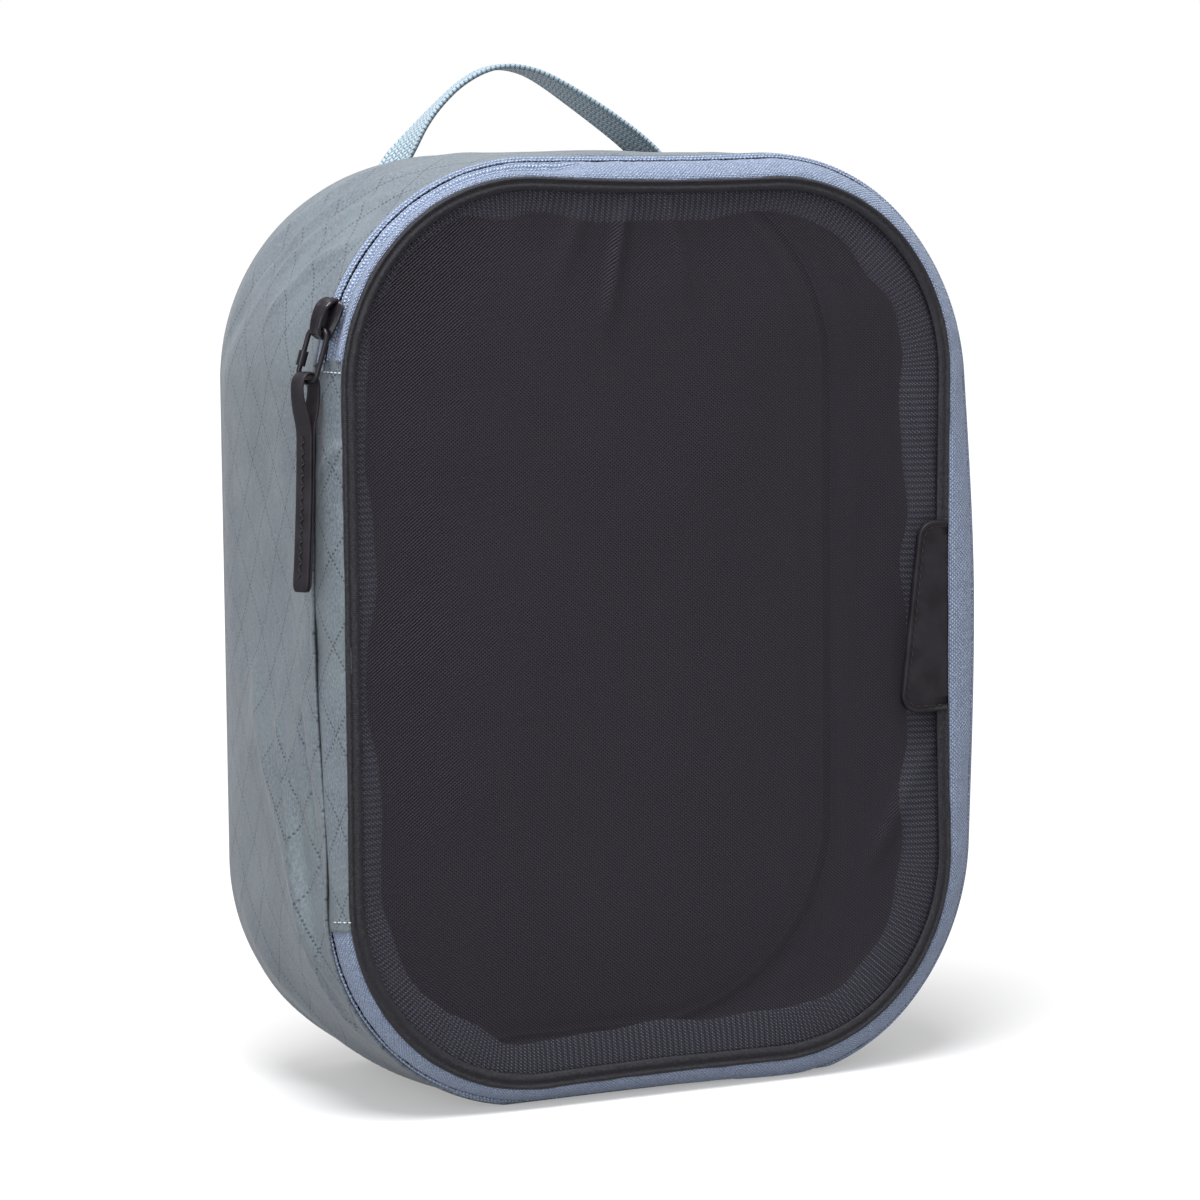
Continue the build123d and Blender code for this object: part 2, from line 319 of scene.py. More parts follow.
def unit_tangent(a, b):
    """Unit tangents of a flat curve given by its two coordinates."""
    tangent = np.stack([np.gradient(a), np.gradient(b)], 1)
    return tangent / np.linalg.norm(tangent, axis=1, keepdims=True)


def thicken(points, thickness, closed_u=False):
    """Closed section: the grid, and the same grid pushed back by the cloth's thickness."""
    inner = push(points, np.full(points.shape[:2], -thickness), closed_u)
    return np.concatenate([points, inner[:, ::-1]], axis=1)


def cloth_object(name, points, u, material, closed_u=False, thickness=CLOTH):
    """A sheet with real thickness, closed all round its edges."""
    v = distance_along(points[points.shape[0] // 2])
    solid = thicken(points, thickness, closed_u)
    obj = grid_object(name, solid, u, np.concatenate([v, v[::-1]]), material, closed_u, True)
    if not closed_u:
        cap_ends(obj, solid.shape)
    return obj


def cap_ends(obj, shape):
    """Closes the two open ends of a tube-like grid with one strip of quads each."""
    nu, nv = shape[:2]
    mesh = obj.data
    vertices = [tuple(v.co) for v in mesh.vertices]
    faces = [tuple(p.vertices) for p in mesh.polygons]
    uvs = np.empty(len(mesh.loops) * 2, np.float32)
    mesh.uv_layers["cloth"].data.foreach_get("uv", uvs)
    extra = []
    for row, turn in ((0, True), (nu - 1, False)):
        for i in range(nv // 2 - 1):
            quad = [row * nv + i, row * nv + i + 1, row * nv + nv - 2 - i, row * nv + nv - 1 - i]
            faces.append(tuple(quad[::-1] if turn else quad))
            extra += [0.0] * 8
    material = mesh.materials[0] if mesh.materials else None
    fresh = bpy.data.meshes.new(mesh.name + "_capped")
    fresh.from_pydata(vertices, [], faces)
    layer = fresh.uv_layers.new(name="cloth")
    layer.data.foreach_set("uv", np.concatenate([uvs, np.array(extra, np.float32)]))
    fresh.polygons.foreach_set("use_smooth", [True] * len(fresh.polygons))
    if material is not None:
        fresh.materials.append(material)
    obj.data = fresh
    fix_normals(obj)


def tube(path, radii, sides=10):
    """Vertices and faces of a round tube along a path, with one radius for each point."""
    path = np.asarray(path, float)
    n = len(path)
    radii = np.broadcast_to(radii, n)
    tangent = np.gradient(path, axis=0)
    tangent /= np.linalg.norm(tangent, axis=1, keepdims=True)
    normal = np.cross(tangent[0], [0.31, 0.52, 0.79])
    normal /= np.linalg.norm(normal)
    a = np.arange(sides) * 2 * pi / sides
    rings = []
    for i in range(n):
        normal = normal - tangent[i] * np.dot(normal, tangent[i])
        normal /= np.linalg.norm(normal)
        side = np.cross(tangent[i], normal)
        rings.append(path[i] + radii[i] * (np.cos(a)[:, None] * normal + np.sin(a)[:, None] * side))
    return loft(rings)


def loft(sections):
    """Vertices and faces through a list of closed sections with the same number of points."""
    sections = np.asarray(sections, float)
    n, m = sections.shape[:2]
    faces = []
    for i in range(n - 1):
        for k in range(m):
            here, after = i * m, i * m + m
            faces.append((here + k, here + (k + 1) % m, after + (k + 1) % m, after + k))
    faces.append(tuple(range(m))[::-1])
    faces.append(tuple((n - 1) * m + k for k in range(m)))
    return sections.reshape(-1, 3), faces


def fix_normals(obj):
    """Turns every face of a closed mesh outwards."""
    work = bmesh.new()
    work.from_mesh(obj.data)
    bmesh.ops.recalc_face_normals(work, faces=work.faces)
    work.to_mesh(obj.data)
    work.free()


def join_parts(name, parts, material):
    """One object from several (vertices, faces) pairs."""
    vertices, faces, base = [], [], 0
    for v, f in parts:
        vertices.append(np.asarray(v))
        faces += [tuple(i + base for i in face) for face in f]
        base += len(v)
    return new_object(name, np.concatenate(vertices), faces, None, material)


def stitch(start, end, out, radius, lift=0.6):
    """One stitch: a short thread that rises out of the cloth between its two ends."""
    start, end, out = (np.asarray(v, float) for v in (start, end, out))
    t = np.linspace(0, 1, 6)[:, None]
    path = start + (end - start) * t + out * (np.sin(pi * t) * radius * lift * 2 - radius * 0.4)
    radii = radius * np.array([0.45, 0.9, 1, 1, 0.9, 0.45])
    return tube(path, radii, 6)


def stitch_row(path, out, length, gap, first, radius):
    """Stitches of one length along a path of points with outward directions, from first metres along it."""
    path, out = np.asarray(path, float), np.asarray(out, float)
    along = distance_along(path)
    parts = []
    d = first
    while d + length < along[-1]:
        ends = point_at(d, along, path), point_at(d + length, along, path)
        parts.append(stitch(*ends, point_at(d, along, out), radius))
        d += length + gap
    return parts


# ---- Camera, floor and light ----

def make_camera():
    """Camera at the photograph's view: a long lens, left of the front and a little above."""
    azimuth, elevation, roll = radians(-25.66), radians(5.7), radians(-0.55)
    distance = 1.085
    target = Vector((0, -1 * MM, CENTRE_Z - 1.3 * MM))
    back = Vector((sin(azimuth) * cos(elevation), -cos(azimuth) * cos(elevation), sin(elevation)))
    right = Vector((cos(azimuth), sin(azimuth), 0))
    up = back.cross(right)
    right_rolled = cos(roll) * right + sin(roll) * up
    up_rolled = cos(roll) * up - sin(roll) * right
    data = bpy.data.cameras.new("camera")
    data.sensor_width = 36
    data.lens = 114.4
    data.shift_x, data.shift_y = 0.0035, 0.0175
    data.clip_start, data.clip_end = 0.05, 20
    obj = bpy.data.objects.new("camera", data)
    bpy.context.scene.collection.objects.link(obj)
    turn = obj.matrix_world.to_3x3()
    for i, axis in enumerate((right_rolled, up_rolled, back)):
        turn.col[i] = axis
    obj.matrix_world = turn.to_4x4()
    obj.location = target + back * distance
    bpy.context.scene.camera = obj


def area_light(name, place_at, size, watts):
    """Round soft light that faces the middle of the cube."""
    data = bpy.data.lights.new(name, "AREA")
    data.shape = "DISK"
    data.size, data.energy = size, watts
    obj = bpy.data.objects.new(name, data)
    obj.location = place_at
    towards = Vector((0, 0, CENTRE_Z)) - Vector(place_at)
    obj.rotation_euler = towards.to_track_quat("-Z", "Y").to_euler()
    bpy.context.scene.collection.objects.link(obj)


def make_studio():
    """White floor and soft light, strongest from the upper left."""
    bpy.context.scene.view_settings.view_transform = "Standard"
    world = bpy.data.worlds.new("studio")
    world.use_nodes = True
    world.node_tree.nodes["Background"].inputs["Color"].default_value = (1, 1, 1, 1)
    world.node_tree.nodes["Background"].inputs["Strength"].default_value = 1.0
    bpy.context.scene.world = world
    area_light("key", place_at=(-0.30, -0.36, 1.38), size=0.8, watts=48)
    area_light("fill", place_at=(-1.05, -0.90, 0.42), size=0.9, watts=13)
    reach, lines, below = 8.0, 60, 0.2 * MM
    edge = np.linspace(-reach, reach, lines)
    gx, gy = np.meshgrid(edge, edge, indexing="ij")
    floor = grid_object("floor", np.stack([gx, gy, 0 * gx - below], -1), edge, edge, floor_material())


# ---- Material nodes ----

class Graph:
    """Short way to write a material: each method adds one node and returns its output."""

    def __init__(self, name):
        self.material = bpy.data.materials.new(name)
        self.material.use_nodes = True
        self.tree = self.material.node_tree
        self.tree.nodes.clear()
        self.shader = self.tree.nodes.new("ShaderNodeBsdfPrincipled")
        self.output = self.tree.nodes.new("ShaderNodeOutputMaterial")
        self.tree.links.new(self.shader.outputs[0], self.output.inputs[0])

    def put(self, socket, value):
        if hasattr(value, "links"):
            self.tree.links.new(value, socket)
        elif isinstance(value, (tuple, list)) and len(value) == 3 and socket.type == "RGBA":
            socket.default_value = (*value, 1)
        else:
            socket.default_value = value

    def math(self, operation, *values):
        node = self.tree.nodes.new("ShaderNodeMath")
        node.operation = operation
        for socket, value in zip(node.inputs, values):
            self.put(socket, value)
        return node.outputs[0]

    def add(self, a, b):
        return self.math("ADD", a, b)

    def sub(self, a, b):
        return self.math("SUBTRACT", a, b)

    def times(self, a, b):
        return self.math("MULTIPLY", a, b)

    def step(self, value, low, high, to_low=0.0, to_high=1.0):
        """Smooth step of a value, from to_low at low to to_high at high."""
        node = self.tree.nodes.new("ShaderNodeMapRange")
        node.interpolation_type = "SMOOTHSTEP"
        for name, v in (("Value", value), ("From Min", low), ("From Max", high),
                        ("To Min", to_low), ("To Max", to_high)):
            self.put(node.inputs[name], v)
        return node.outputs[0]

    def uv(self):
        """The cloth's own coordinates, in metres."""
        node = self.tree.nodes.new("ShaderNodeUVMap")
        node.uv_map = "cloth"
        return self.parts_of(node.outputs[0])[:2]

    def parts_of(self, vector):
        """The x, y and z of a vector."""
        split = self.tree.nodes.new("ShaderNodeSeparateXYZ")
        self.tree.links.new(vector, split.inputs[0])
        return list(split.outputs)

    def object_place(self):
        return self.tree.nodes.new("ShaderNodeTexCoord").outputs["Object"]

    def vector(self, x, y, z=0.0):
        node = self.tree.nodes.new("ShaderNodeCombineXYZ")
        for socket, value in zip(node.inputs, (x, y, z)):
            self.put(socket, value)
        return node.outputs[0]

    def noise(self, place_socket, size, detail=3.0):
        """Noise whose features are about size metres wide, from 0 to 1."""
        node = self.tree.nodes.new("ShaderNodeTexNoise")
        self.put(node.inputs["Vector"], place_socket)
        node.inputs["Scale"].default_value = 1 / size
        node.inputs["Detail"].default_value = detail
        return node.outputs[0]

    def cells(self, place_socket, size, randomness=1.0, feature="F1"):
        node = self.tree.nodes.new("ShaderNodeTexVoronoi")
        node.feature = feature
        self.put(node.inputs["Vector"], place_socket)
        node.inputs["Scale"].default_value = 1 / size
        node.inputs["Randomness"].default_value = randomness
        return node.outputs["Distance"]

    def mix(self, share, a, b):
        node = self.tree.nodes.new("ShaderNodeMix")
        node.data_type = "RGBA"
        self.put(node.inputs[0], share)
        self.put(node.inputs[6], a)
        self.put(node.inputs[7], b)
        return node.outputs[2]

    def tones(self, value, low, high, dark, light):
        """Colour that goes from dark, where a value is low, to light where it is high."""
        return self.mix(self.step(value, low, high), dark, light)

    def wave(self, along, pitch):
        """Ridges of a given pitch along a coordinate, from -1 to 1."""
        return self.math("SINE", self.times(along, 2 * pi / pitch))

    def bump(self, height, depth, below=None):
        """Bump from a height of 0 to 1 that stands for depth metres."""
        node = self.tree.nodes.new("ShaderNodeBump")
        node.inputs["Distance"].default_value = depth
        self.put(node.inputs["Height"], height)
        if below is not None:
            self.put(node.inputs["Normal"], below)
        return node.outputs[0]

    def finish(self, colour, roughness, normal=None, metallic=0.0, sheen=0.0, specular=0.5):
        s = self.shader.inputs
        self.put(s["Base Color"], colour)
        self.put(s["Roughness"], roughness)
        s["Metallic"].default_value = metallic
        s["Sheen Weight"].default_value = sheen
        s["Sheen Roughness"].default_value = 0.4
        s["Specular IOR Level"].default_value = specular
        if normal is not None:
            self.put(s["Normal"], normal)
        return self.material


def scaled(colour, k):
    return tuple(c * k for c in colour)


def line_family(g, a, b, long_pitch, cross_pitch, dash):
    """One family of dashed lines, drawn where a / long_pitch + b / cross_pitch is whole. Returns 0 to 1."""
    size = (long_pitch ** 2 + cross_pitch ** 2) ** 0.5
    spacing = long_pitch * cross_pitch / size
    phase = g.add(g.math("DIVIDE", a, long_pitch), g.math("DIVIDE", b, cross_pitch))
    away = g.times(g.math("ABSOLUTE", g.sub(g.math("FRACT", g.add(phase, 0.5)), 0.5)), spacing)
    line = g.step(away, 0.18 * MM, 0.40 * MM, 1.0, 0.0)
    along = g.math("DIVIDE", g.sub(g.times(a, long_pitch / size), g.times(b, cross_pitch / size)), dash)
    dots = g.step(g.math("ABSOLUTE", g.sub(g.math("FRACT", along), 0.5)), 0.2, 0.3, 1.0, 0.0)
    return g.times(line, dots)


def shell_fabric():
    """Coated blue-grey cloth with dashed diamonds stitched into its weave as dents, with painted shade in
    the dents.
    """
    g = Graph("shell_fabric")
    u, v = g.uv()
    bent = g.add(v, g.times(g.sub(g.noise(g.object_place(), 30 * MM, 1), 0.5), 2.5 * MM))
    across = g.times(bent, -1)
    dashes = g.math("MAXIMUM", line_family(g, u, bent, DIAMOND_LONG, DIAMOND_WIDE, DASH),
                    line_family(g, u, across, DIAMOND_LONG, DIAMOND_WIDE, DASH))
    speckle = g.noise(g.vector(g.times(u, 0.8), g.times(v, 1.6)), 0.8 * MM, 3)
    patches = g.noise(g.object_place(), 22 * MM, 3)
    weave = g.times(g.wave(u, 0.42 * MM), g.wave(v, 0.42 * MM))
    base = (0.066, 0.079, 0.095)
    colour = g.tones(speckle, 0.3, 0.72, scaled(base, 0.62), scaled(base, 1.28))
    colour = g.mix(g.times(g.step(patches, 0.35, 0.7), 0.35), colour, (0.086, 0.108, 0.114))
    # painted shade: the stitched dashes are darkened, as shade in their dents
    colour = g.mix(g.times(dashes, 0.85), colour, (0.018, 0.024, 0.029))
    height = g.sub(g.add(g.times(weave, 0.3), g.times(speckle, 0.9)), g.times(dashes, 1.1))
    creases = g.noise(g.object_place(), 9 * MM, 4)
    normal = g.bump(height, 0.07 * MM, g.bump(creases, 0.8 * MM))
    return g.finish(colour, g.step(speckle, 0.2, 0.8, 0.5, 0.64), normal, sheen=0.05, specular=0.3)


def shaded_lining():
    """Inner face of the shell, coloured far darker than the outer cloth: painted shade of the closed
    inside.
    """
    g = Graph("shaded_lining")
    u, v = g.uv()
    speckle = g.noise(g.vector(u, v), 0.8 * MM, 2)
    patches = g.noise(g.object_place(), 26 * MM, 4)
    # painted shade: the inner cloth's colour is kept far darker than the shell's, standing for the shade
    # inside
    colour = g.tones(speckle, 0.3, 0.7, (0.030, 0.033, 0.039), (0.045, 0.050, 0.058))
    normal = g.bump(patches, 1.2 * MM, g.bump(speckle, 0.05 * MM))
    return g.finish(colour, g.step(patches, 0.3, 0.7, 0.5, 0.66), normal, specular=0.2)


def knit_tape():
    """Pale blue knitted zip tape: rows of small loops, with painted shade in the pits between them."""
    g = Graph("zip_tape")
    u, v = g.uv()
    wander = g.times(g.sub(g.noise(g.object_place(), 2.2 * MM, 2), 0.5), 0.5 * MM)
    row = g.math("FLOOR", g.math("DIVIDE", v, 0.82 * MM))
    shift = g.times(g.math("MODULO", row, 2.0), 0.55 * MM)
    loops = g.wave(g.add(g.add(u, shift), wander), 1.1 * MM)
    rows = g.wave(g.add(v, wander), 0.82 * MM)
    fuzz = g.noise(g.object_place(), 0.5 * MM, 3)
    body = g.add(g.times(g.times(loops, rows), 0.4), g.times(g.add(loops, rows), 0.3))
    height = g.add(body, g.times(g.sub(fuzz, 0.5), 0.8))
    # painted shade: colour darkened where the knit sits low, between its loops
    pit_shade = g.step(height, -0.35, 0.22, 1.0, 0.0)
    colour = g.tones(fuzz, 0.3, 0.7, (0.176, 0.214, 0.300), (0.250, 0.300, 0.400))
    colour = g.mix(g.times(pit_shade, 0.85), colour, (0.040, 0.056, 0.098))
    normal = g.bump(height, 0.3 * MM)
    return g.finish(colour, g.step(fuzz, 0.2, 0.8, 0.68, 0.82), normal, sheen=0.08, specular=0.2)


def black_binding():
    """Black woven binding with fine cross ribs."""
    g = Graph("black_binding")
    u, _ = g.uv()
    ribs = g.wave(u, 0.5 * MM)
    fuzz = g.noise(g.object_place(), 0.6 * MM, 3)
    colour = g.tones(fuzz, 0.35, 0.7, (0.0060, 0.0056, 0.0075), (0.016, 0.016, 0.0195))
    normal = g.bump(g.add(g.times(ribs, 0.25), fuzz), 0.1 * MM)
    return g.finish(colour, g.step(fuzz, 0.2, 0.8, 0.55, 0.75), normal, sheen=0.02, specular=0.14)


def mesh_net():
    """See-through net: dark threads on both diagonals, open between them."""
    g = Graph("mesh")
    u, v = g.uv()
    diagonal_a = g.add(u, g.times(v, 1.25))
    diagonal_b = g.sub(u, g.times(v, 1.25))
    threads_a = g.step(g.wave(diagonal_a, NET_PITCH), -0.1, 0.5)
    threads_b = g.step(g.wave(diagonal_b, NET_PITCH), 0.1, 0.7)
    cover = g.math("MAXIMUM", threads_a, threads_b)
    fuzz = g.noise(g.object_place(), 0.7 * MM, 2)
    colour = g.mix(threads_b, (0.0018, 0.0014, 0.0024), (0.034, 0.029, 0.038))
    colour = g.mix(g.times(fuzz, 0.12), colour, (0.012, 0.010, 0.014))
    normal = g.bump(g.add(threads_a, threads_b), 0.12 * MM)
    material = g.finish(colour, 0.62, normal, specular=0.08)
    g.put(g.shader.inputs["Alpha"], g.step(cover, 0.0, 1.0, 0.12, 1.0))
    return material


def ribbed_tape():
    """Dark blue-grey seam tape; its ribs are in the mesh, and its colour has painted light and shade in
    stripes at their pitch.
    """
    g = Graph("seam_tape")
    u, v = g.uv()
    fuzz = g.noise(g.object_place(), 0.7 * MM, 3)
    ribs = g.wave(u, RIB_PITCH)
    # painted light and shade: colour runs dark to light with the ribs' wave
    base = g.tones(ribs, -0.8, 0.8, (0.030, 0.035, 0.048), (0.150, 0.172, 0.215))
    colour = g.mix(g.times(fuzz, 0.4), base, (0.09, 0.105, 0.13))
    return g.finish(colour, 0.72, g.bump(g.add(g.wave(v, 0.6 * MM), fuzz), 0.06 * MM), specular=0.15)


def coil_plastic():
    """Grey-blue nylon of the coil and its end stops."""
    g = Graph("zip_coil")
    tint = g.noise(g.object_place(), 1.5 * MM, 2)
    colour = g.mix(tint, (0.075, 0.095, 0.125), (0.17, 0.20, 0.25))
    return g.finish(colour, g.step(tint, 0.3, 0.7, 0.35, 0.48), g.bump(tint, 0.03 * MM))


def sewing_thread(name, dark, light):
    """Twisted thread, its plies shown as slanted bands of painted light and painted shade."""
    g = Graph(name)
    x, y, z = g.parts_of(g.object_place())
    twist = g.wave(g.add(g.add(x, y), z), 0.35 * MM)
    # painted light and shade: colour follows the same ply wave as the bump
    colour = g.tones(twist, -1, 1, dark, light)
    return g.finish(colour, 0.6, g.bump(twist, 0.05 * MM), sheen=0.02, specular=0.2)


def webbing_weave():
    """Narrow woven webbing: rows of slanted cells along its length, with a lighter lip at its edges;
    painted shade in the weave's hollows and painted light on its raised cells.
    """
    g = Graph("webbing")
    u, v = g.uv()
    column = g.math("FLOOR", g.math("DIVIDE", v, 1.5 * MM))
    slant = g.times(g.math("PINGPONG", v, 1.5 * MM), 0.55)
    cell = g.add(g.add(u, slant), g.times(g.math("MODULO", column, 2.0), 0.75 * MM))
    across = g.math("ABSOLUTE", g.wave(v, 3.0 * MM))
    lengthwise = g.math("ABSOLUTE", g.wave(cell, 3.0 * MM))
    fuzz = g.noise(g.object_place(), 0.45 * MM, 3)
    height = g.add(g.times(g.math("MINIMUM", g.times(across, 1.3), lengthwise), 0.85), g.times(fuzz, 0.3))
    # painted shade and light: colour dark where the weave is low, light where it is high
    colour = g.tones(height, 0.15, 0.85, (0.050, 0.074, 0.094), (0.180, 0.240, 0.285))
    colour = g.mix(g.times(g.step(fuzz, 0.55, 0.8), 0.3), colour, (0.27, 0.34, 0.385))
    normal = g.bump(height, 0.32 * MM)
    return g.finish(colour, g.step(fuzz, 0.2, 0.8, 0.55, 0.72), normal, sheen=0.15, specular=0.35)


def black_metal():
    """Black enamel over cast metal, with a fine orange-peel surface."""
    g = Graph("black_metal")
    peel = g.noise(g.object_place(), 0.9 * MM, 3)
    smear = g.noise(g.object_place(), 5 * MM, 4)
    colour = g.mix(smear, (0.0030, 0.0024, 0.0038), (0.0066, 0.0054, 0.0080))
    return g.finish(colour, g.step(smear, 0.3, 0.7, 0.22, 0.36), g.bump(peel, 0.03 * MM), specular=0.16)


def black_rubber():
    """Soft black moulded rubber with a leather-like grain."""
    g = Graph("black_rubber")
    grain = g.cells(g.object_place(), 0.55 * MM, 1.0, "SMOOTH_F1")
    smear = g.noise(g.object_place(), 6 * MM, 4)
    colour = g.tones(smear, 0.3, 0.7, (0.0055, 0.0045, 0.0062), (0.0110, 0.0090, 0.0120))
    return g.finish(colour, g.step(smear, 0.3, 0.7, 0.46, 0.60), g.bump(grain, 0.05 * MM), specular=0.12)


def floor_material():
    """White floor that glows, more with distance: painted light that lifts it to meet the background
    without a line.
    """
    g = Graph("floor")
    place_socket = g.object_place()
    tint = g.noise(place_socket, 0.4, 2)
    colour = g.mix(tint, (0.31, 0.31, 0.315), (0.33, 0.33, 0.335))
    length = g.tree.nodes.new("ShaderNodeVectorMath")
    length.operation = "LENGTH"
    g.put(length.inputs[0], place_socket)
    # painted light: the floor glows, from 0.32 near the cube to 0.75 far off
    g.put(g.shader.inputs["Emission Color"], (1, 1, 1))
    g.put(g.shader.inputs["Emission Strength"], g.step(length.outputs["Value"], 0.25, 1.6, 0.32, 0.75))
    return g.finish(colour, 0.7, specular=0.1)


# ---- Shell ----

def zip_point(s, side):
    """Inset and depth of the tape over the coil line, side metres from it towards the window."""
    inset, y = coil_line(s)
    return inset + (side - COVER) * DIAGONAL, y - (side + COVER) * DIAGONAL


def curve_through(places, v):
    """Insets and depths of a smooth curve through places, each (inset, y) over s, at v from 0 to 1."""
    return [smooth_curve(knots, v) for knots in zip(*places)]


def smooth_curve(knots, v):
    """Values of a smooth curve through knots, each an array over s, at places v from 0 to 1."""
    values = np.stack([np.broadcast_to(p, knots[0].shape) for p in knots], -1)
    slopes = np.gradient(values, axis=-1)
    spans = len(knots) - 1
    out = np.empty(values.shape[:-1] + (len(v),))
    for j, t in enumerate(v):
        k = min(int(t * spans), spans - 1)
        f = t * spans - k
        h = f * f * (3 - 2 * f)
        a, b = values[..., k], values[..., k + 1]
        out[..., j] = (a * (1 - h) + b * h + slopes[..., k] * (f ** 3 - 2 * f * f + f)
                       + slopes[..., k + 1] * (f ** 3 - f * f))
    return out


def gusset_front(s):
    """Inset and depth of the gusset's folded front edge, which laps over the outer zip tape."""
    y = around(s, -30.0, -31.2, -31.6, -31.0, -33.5, -32.5, -33.2, -34.6) * MM
    below_strip = np.mod(s, PERIMETER) - (PERIMETER - 52 * MM)
    y -= 3.6 * MM * bell(below_strip, 30 * MM)
    inset = coil_line(s)[0] - 2.2 * MM + 0.6 * MM * near_path(s)
    near_strip = np.exp(-(from_left(s) / (60 * MM)) ** 4)
    return inset * (1 - near_strip) + 0.2 * MM * near_strip, y


def make_gusset(fabric, inner):
    """Side wall: cloth that bulges a little, creased at the corners and beside the hinge strip."""
    s = np.arange(0, PERIMETER, 1.25 * MM)
    v = np.linspace(0, 1, 64)
    front_inset, front_y = gusset_front(s)
    bulge = around(s, 0.2, 1.2, 0.8, 1.6, 2.2, 1.6, 0.0, 1.0) * MM
    back_y = np.full_like(s, 39.4 * MM)
    insets, ys = curve_through([
        (np.full_like(s, SEAM_INSET), back_y),
        (-bulge * 0.6, back_y - 10 * MM),
        (-bulge, back_y * 0.25),
        (-bulge * 0.9, front_y * 0.4),
        (front_inset - 0.5 * MM, front_y + 5.5 * MM),
        (front_inset, front_y),
    ], v)
    points = place(s[:, None], insets, ys)
    a = np.broadcast_to(from_left(s)[:, None], insets.shape)
    top_corner, bottom_corner = RUN_UP + ARC / 2, -RUN_UP - ARC / 2
    at_top = [
        ((-26, 24), (22, -14), 3.2, 1.1), ((-18, 8), (16, -26), 2.4, 0.9), ((-30, 2), (-4, -27), 2.2, 0.8),
        ((-42, 34), (-8, 12), 5.0, -1.0), ((-12, 30), (30, 4), 3.0, 0.7),
    ]
    beside_strip = [
        ((-92, -30), (-24, -6), 2.0, 1.6), ((-112, -28), (-30, -14), 1.7, 1.3),
        ((-84, -24), (-12, 14), 3.6, 1.3), ((-62, -31), (-20, -22), 1.4, -1.4),
    ]
    at_bottom = [((-24, -22), (34, 26), 4.2, 1.0), ((-30, 4), (20, 34), 3.4, -0.9)]
    wrinkle = cloth_noise(points, (1.1, 34, 3), (0.55, 13, 5))
    for origin, folds in ((top_corner, at_top), (0.0, beside_strip), (bottom_corner, at_bottom)):
        wrinkle = with_folds(wrinkle, a, ys, folds, origin, strength=1.35)
    dented = bell(a - bottom_corner, 34 * MM)
    wrinkle += dented * 1.0 * MM * np.sin(a / (9.5 * MM)) * smooth_step((ys + 20 * MM) / (40 * MM))
    calm = 0.10 + 0.15 * near_path(s)[:, None]
    points = push(points, wrinkle * smooth_step(v / 0.30) * smooth_step((1 - v) / calm), True)
    points = above_floor(points, 0.1 * MM)
    obj = cloth_object("gusset_cloth", points, s, fabric, True)
    line_inside(obj, len(v), inner)
    dress(obj, "side_gusset", "shell")


def line_inside(obj, outer_rows, inner):
    """Gives the inner layer of a thickened cloth its own material."""
    obj.data.materials.append(inner)
    total = 2 * outer_rows
    for face in obj.data.polygons:
        row = min(i % total for i in face.vertices)
        face.material_index = int(row >= outer_rows)


def rounded_distance(flat, inset):
    """Distance of points x, z inside the outline drawn in by inset; negative outside it."""
    radius = CORNER - inset
    qx = np.abs(flat[:, 0]) - (HALF_W - CORNER)
    qz = np.abs(flat[:, 1] - CENTRE_Z) - (HALF_H - CORNER)
    outside = np.hypot(np.maximum(qx, 0), np.maximum(qz, 0)) + np.minimum(np.maximum(qx, qz), 0)
    return radius - outside


def in_space(flat, y=0.0):
    """Points x, y, z from flat points x, z and their depths."""
    x, z = flat.T
    return np.stack([x, y + 0 * x, z], 1)


def flat_mesh(edge, spacing, inset, rings=()):
    """Even triangles that fill a loop of points x, z, which is the outline drawn in by about inset.

    rings are the distances in from the loop of rows of points that follow it.
    """
    low, high = edge.min(0), edge.max(0)
    row_step = spacing * 0.866
    grid = []
    for k, z in enumerate(np.arange(low[1], high[1], row_step)):
        x = np.arange(low[0] + (k % 2) * spacing / 2, high[0], spacing)
        grid.append(np.stack([x, np.full_like(x, z)], 1))
    grid = np.concatenate(grid)
    grid = grid[rounded_distance(grid, inset) > spacing * 0.6 + max(rings, default=0)]
    towards = np.roll(edge, -1, 0) - np.roll(edge, 1, 0)
    inwards = np.stack([towards[:, 1], -towards[:, 0]], 1) / np.linalg.norm(towards, axis=1)[:, None]
    points = np.concatenate([edge] + [edge + d * inwards for d in rings] + [grid])
    loop = [(i, (i + 1) % len(edge)) for i in range(len(edge))]
    vertices, _, faces, *_ = delaunay_2d_cdt([Vector(p) for p in points], loop, [], 1, 1e-7)
    return np.array([(v.x, v.y) for v in vertices]), [tuple(f) for f in faces]


def sheet_pair(name, flat, faces, y_front, y_back, material, inner):
    """Closed thin sheet from a flat mesh: front layer inside, back layer outside, joined at their rim."""
    n = len(flat)
    rim = {}
    for f in faces:
        for i in range(3):
            a, b = f[i], f[(i + 1) % 3]
            if rim.pop((b, a), None) is None:
                rim[(a, b)] = True
    all_faces = faces + [tuple(i + n for i in f[::-1]) for f in faces]
    all_faces += [(b, a, a + n, b + n) for a, b in rim]
    uv_of = np.concatenate([flat[:, ::-1], flat[:, ::-1]])
    uvs = np.concatenate([uv_of[list(f)] for f in all_faces])
    vertices = np.concatenate([in_space(flat, y_front), in_space(flat, y_back)])
    obj = new_object(name, vertices, all_faces, uvs, material)
    obj.data.materials.append(inner)
    for k in range(len(faces)):
        obj.data.polygons[k].material_index = 1
    return obj


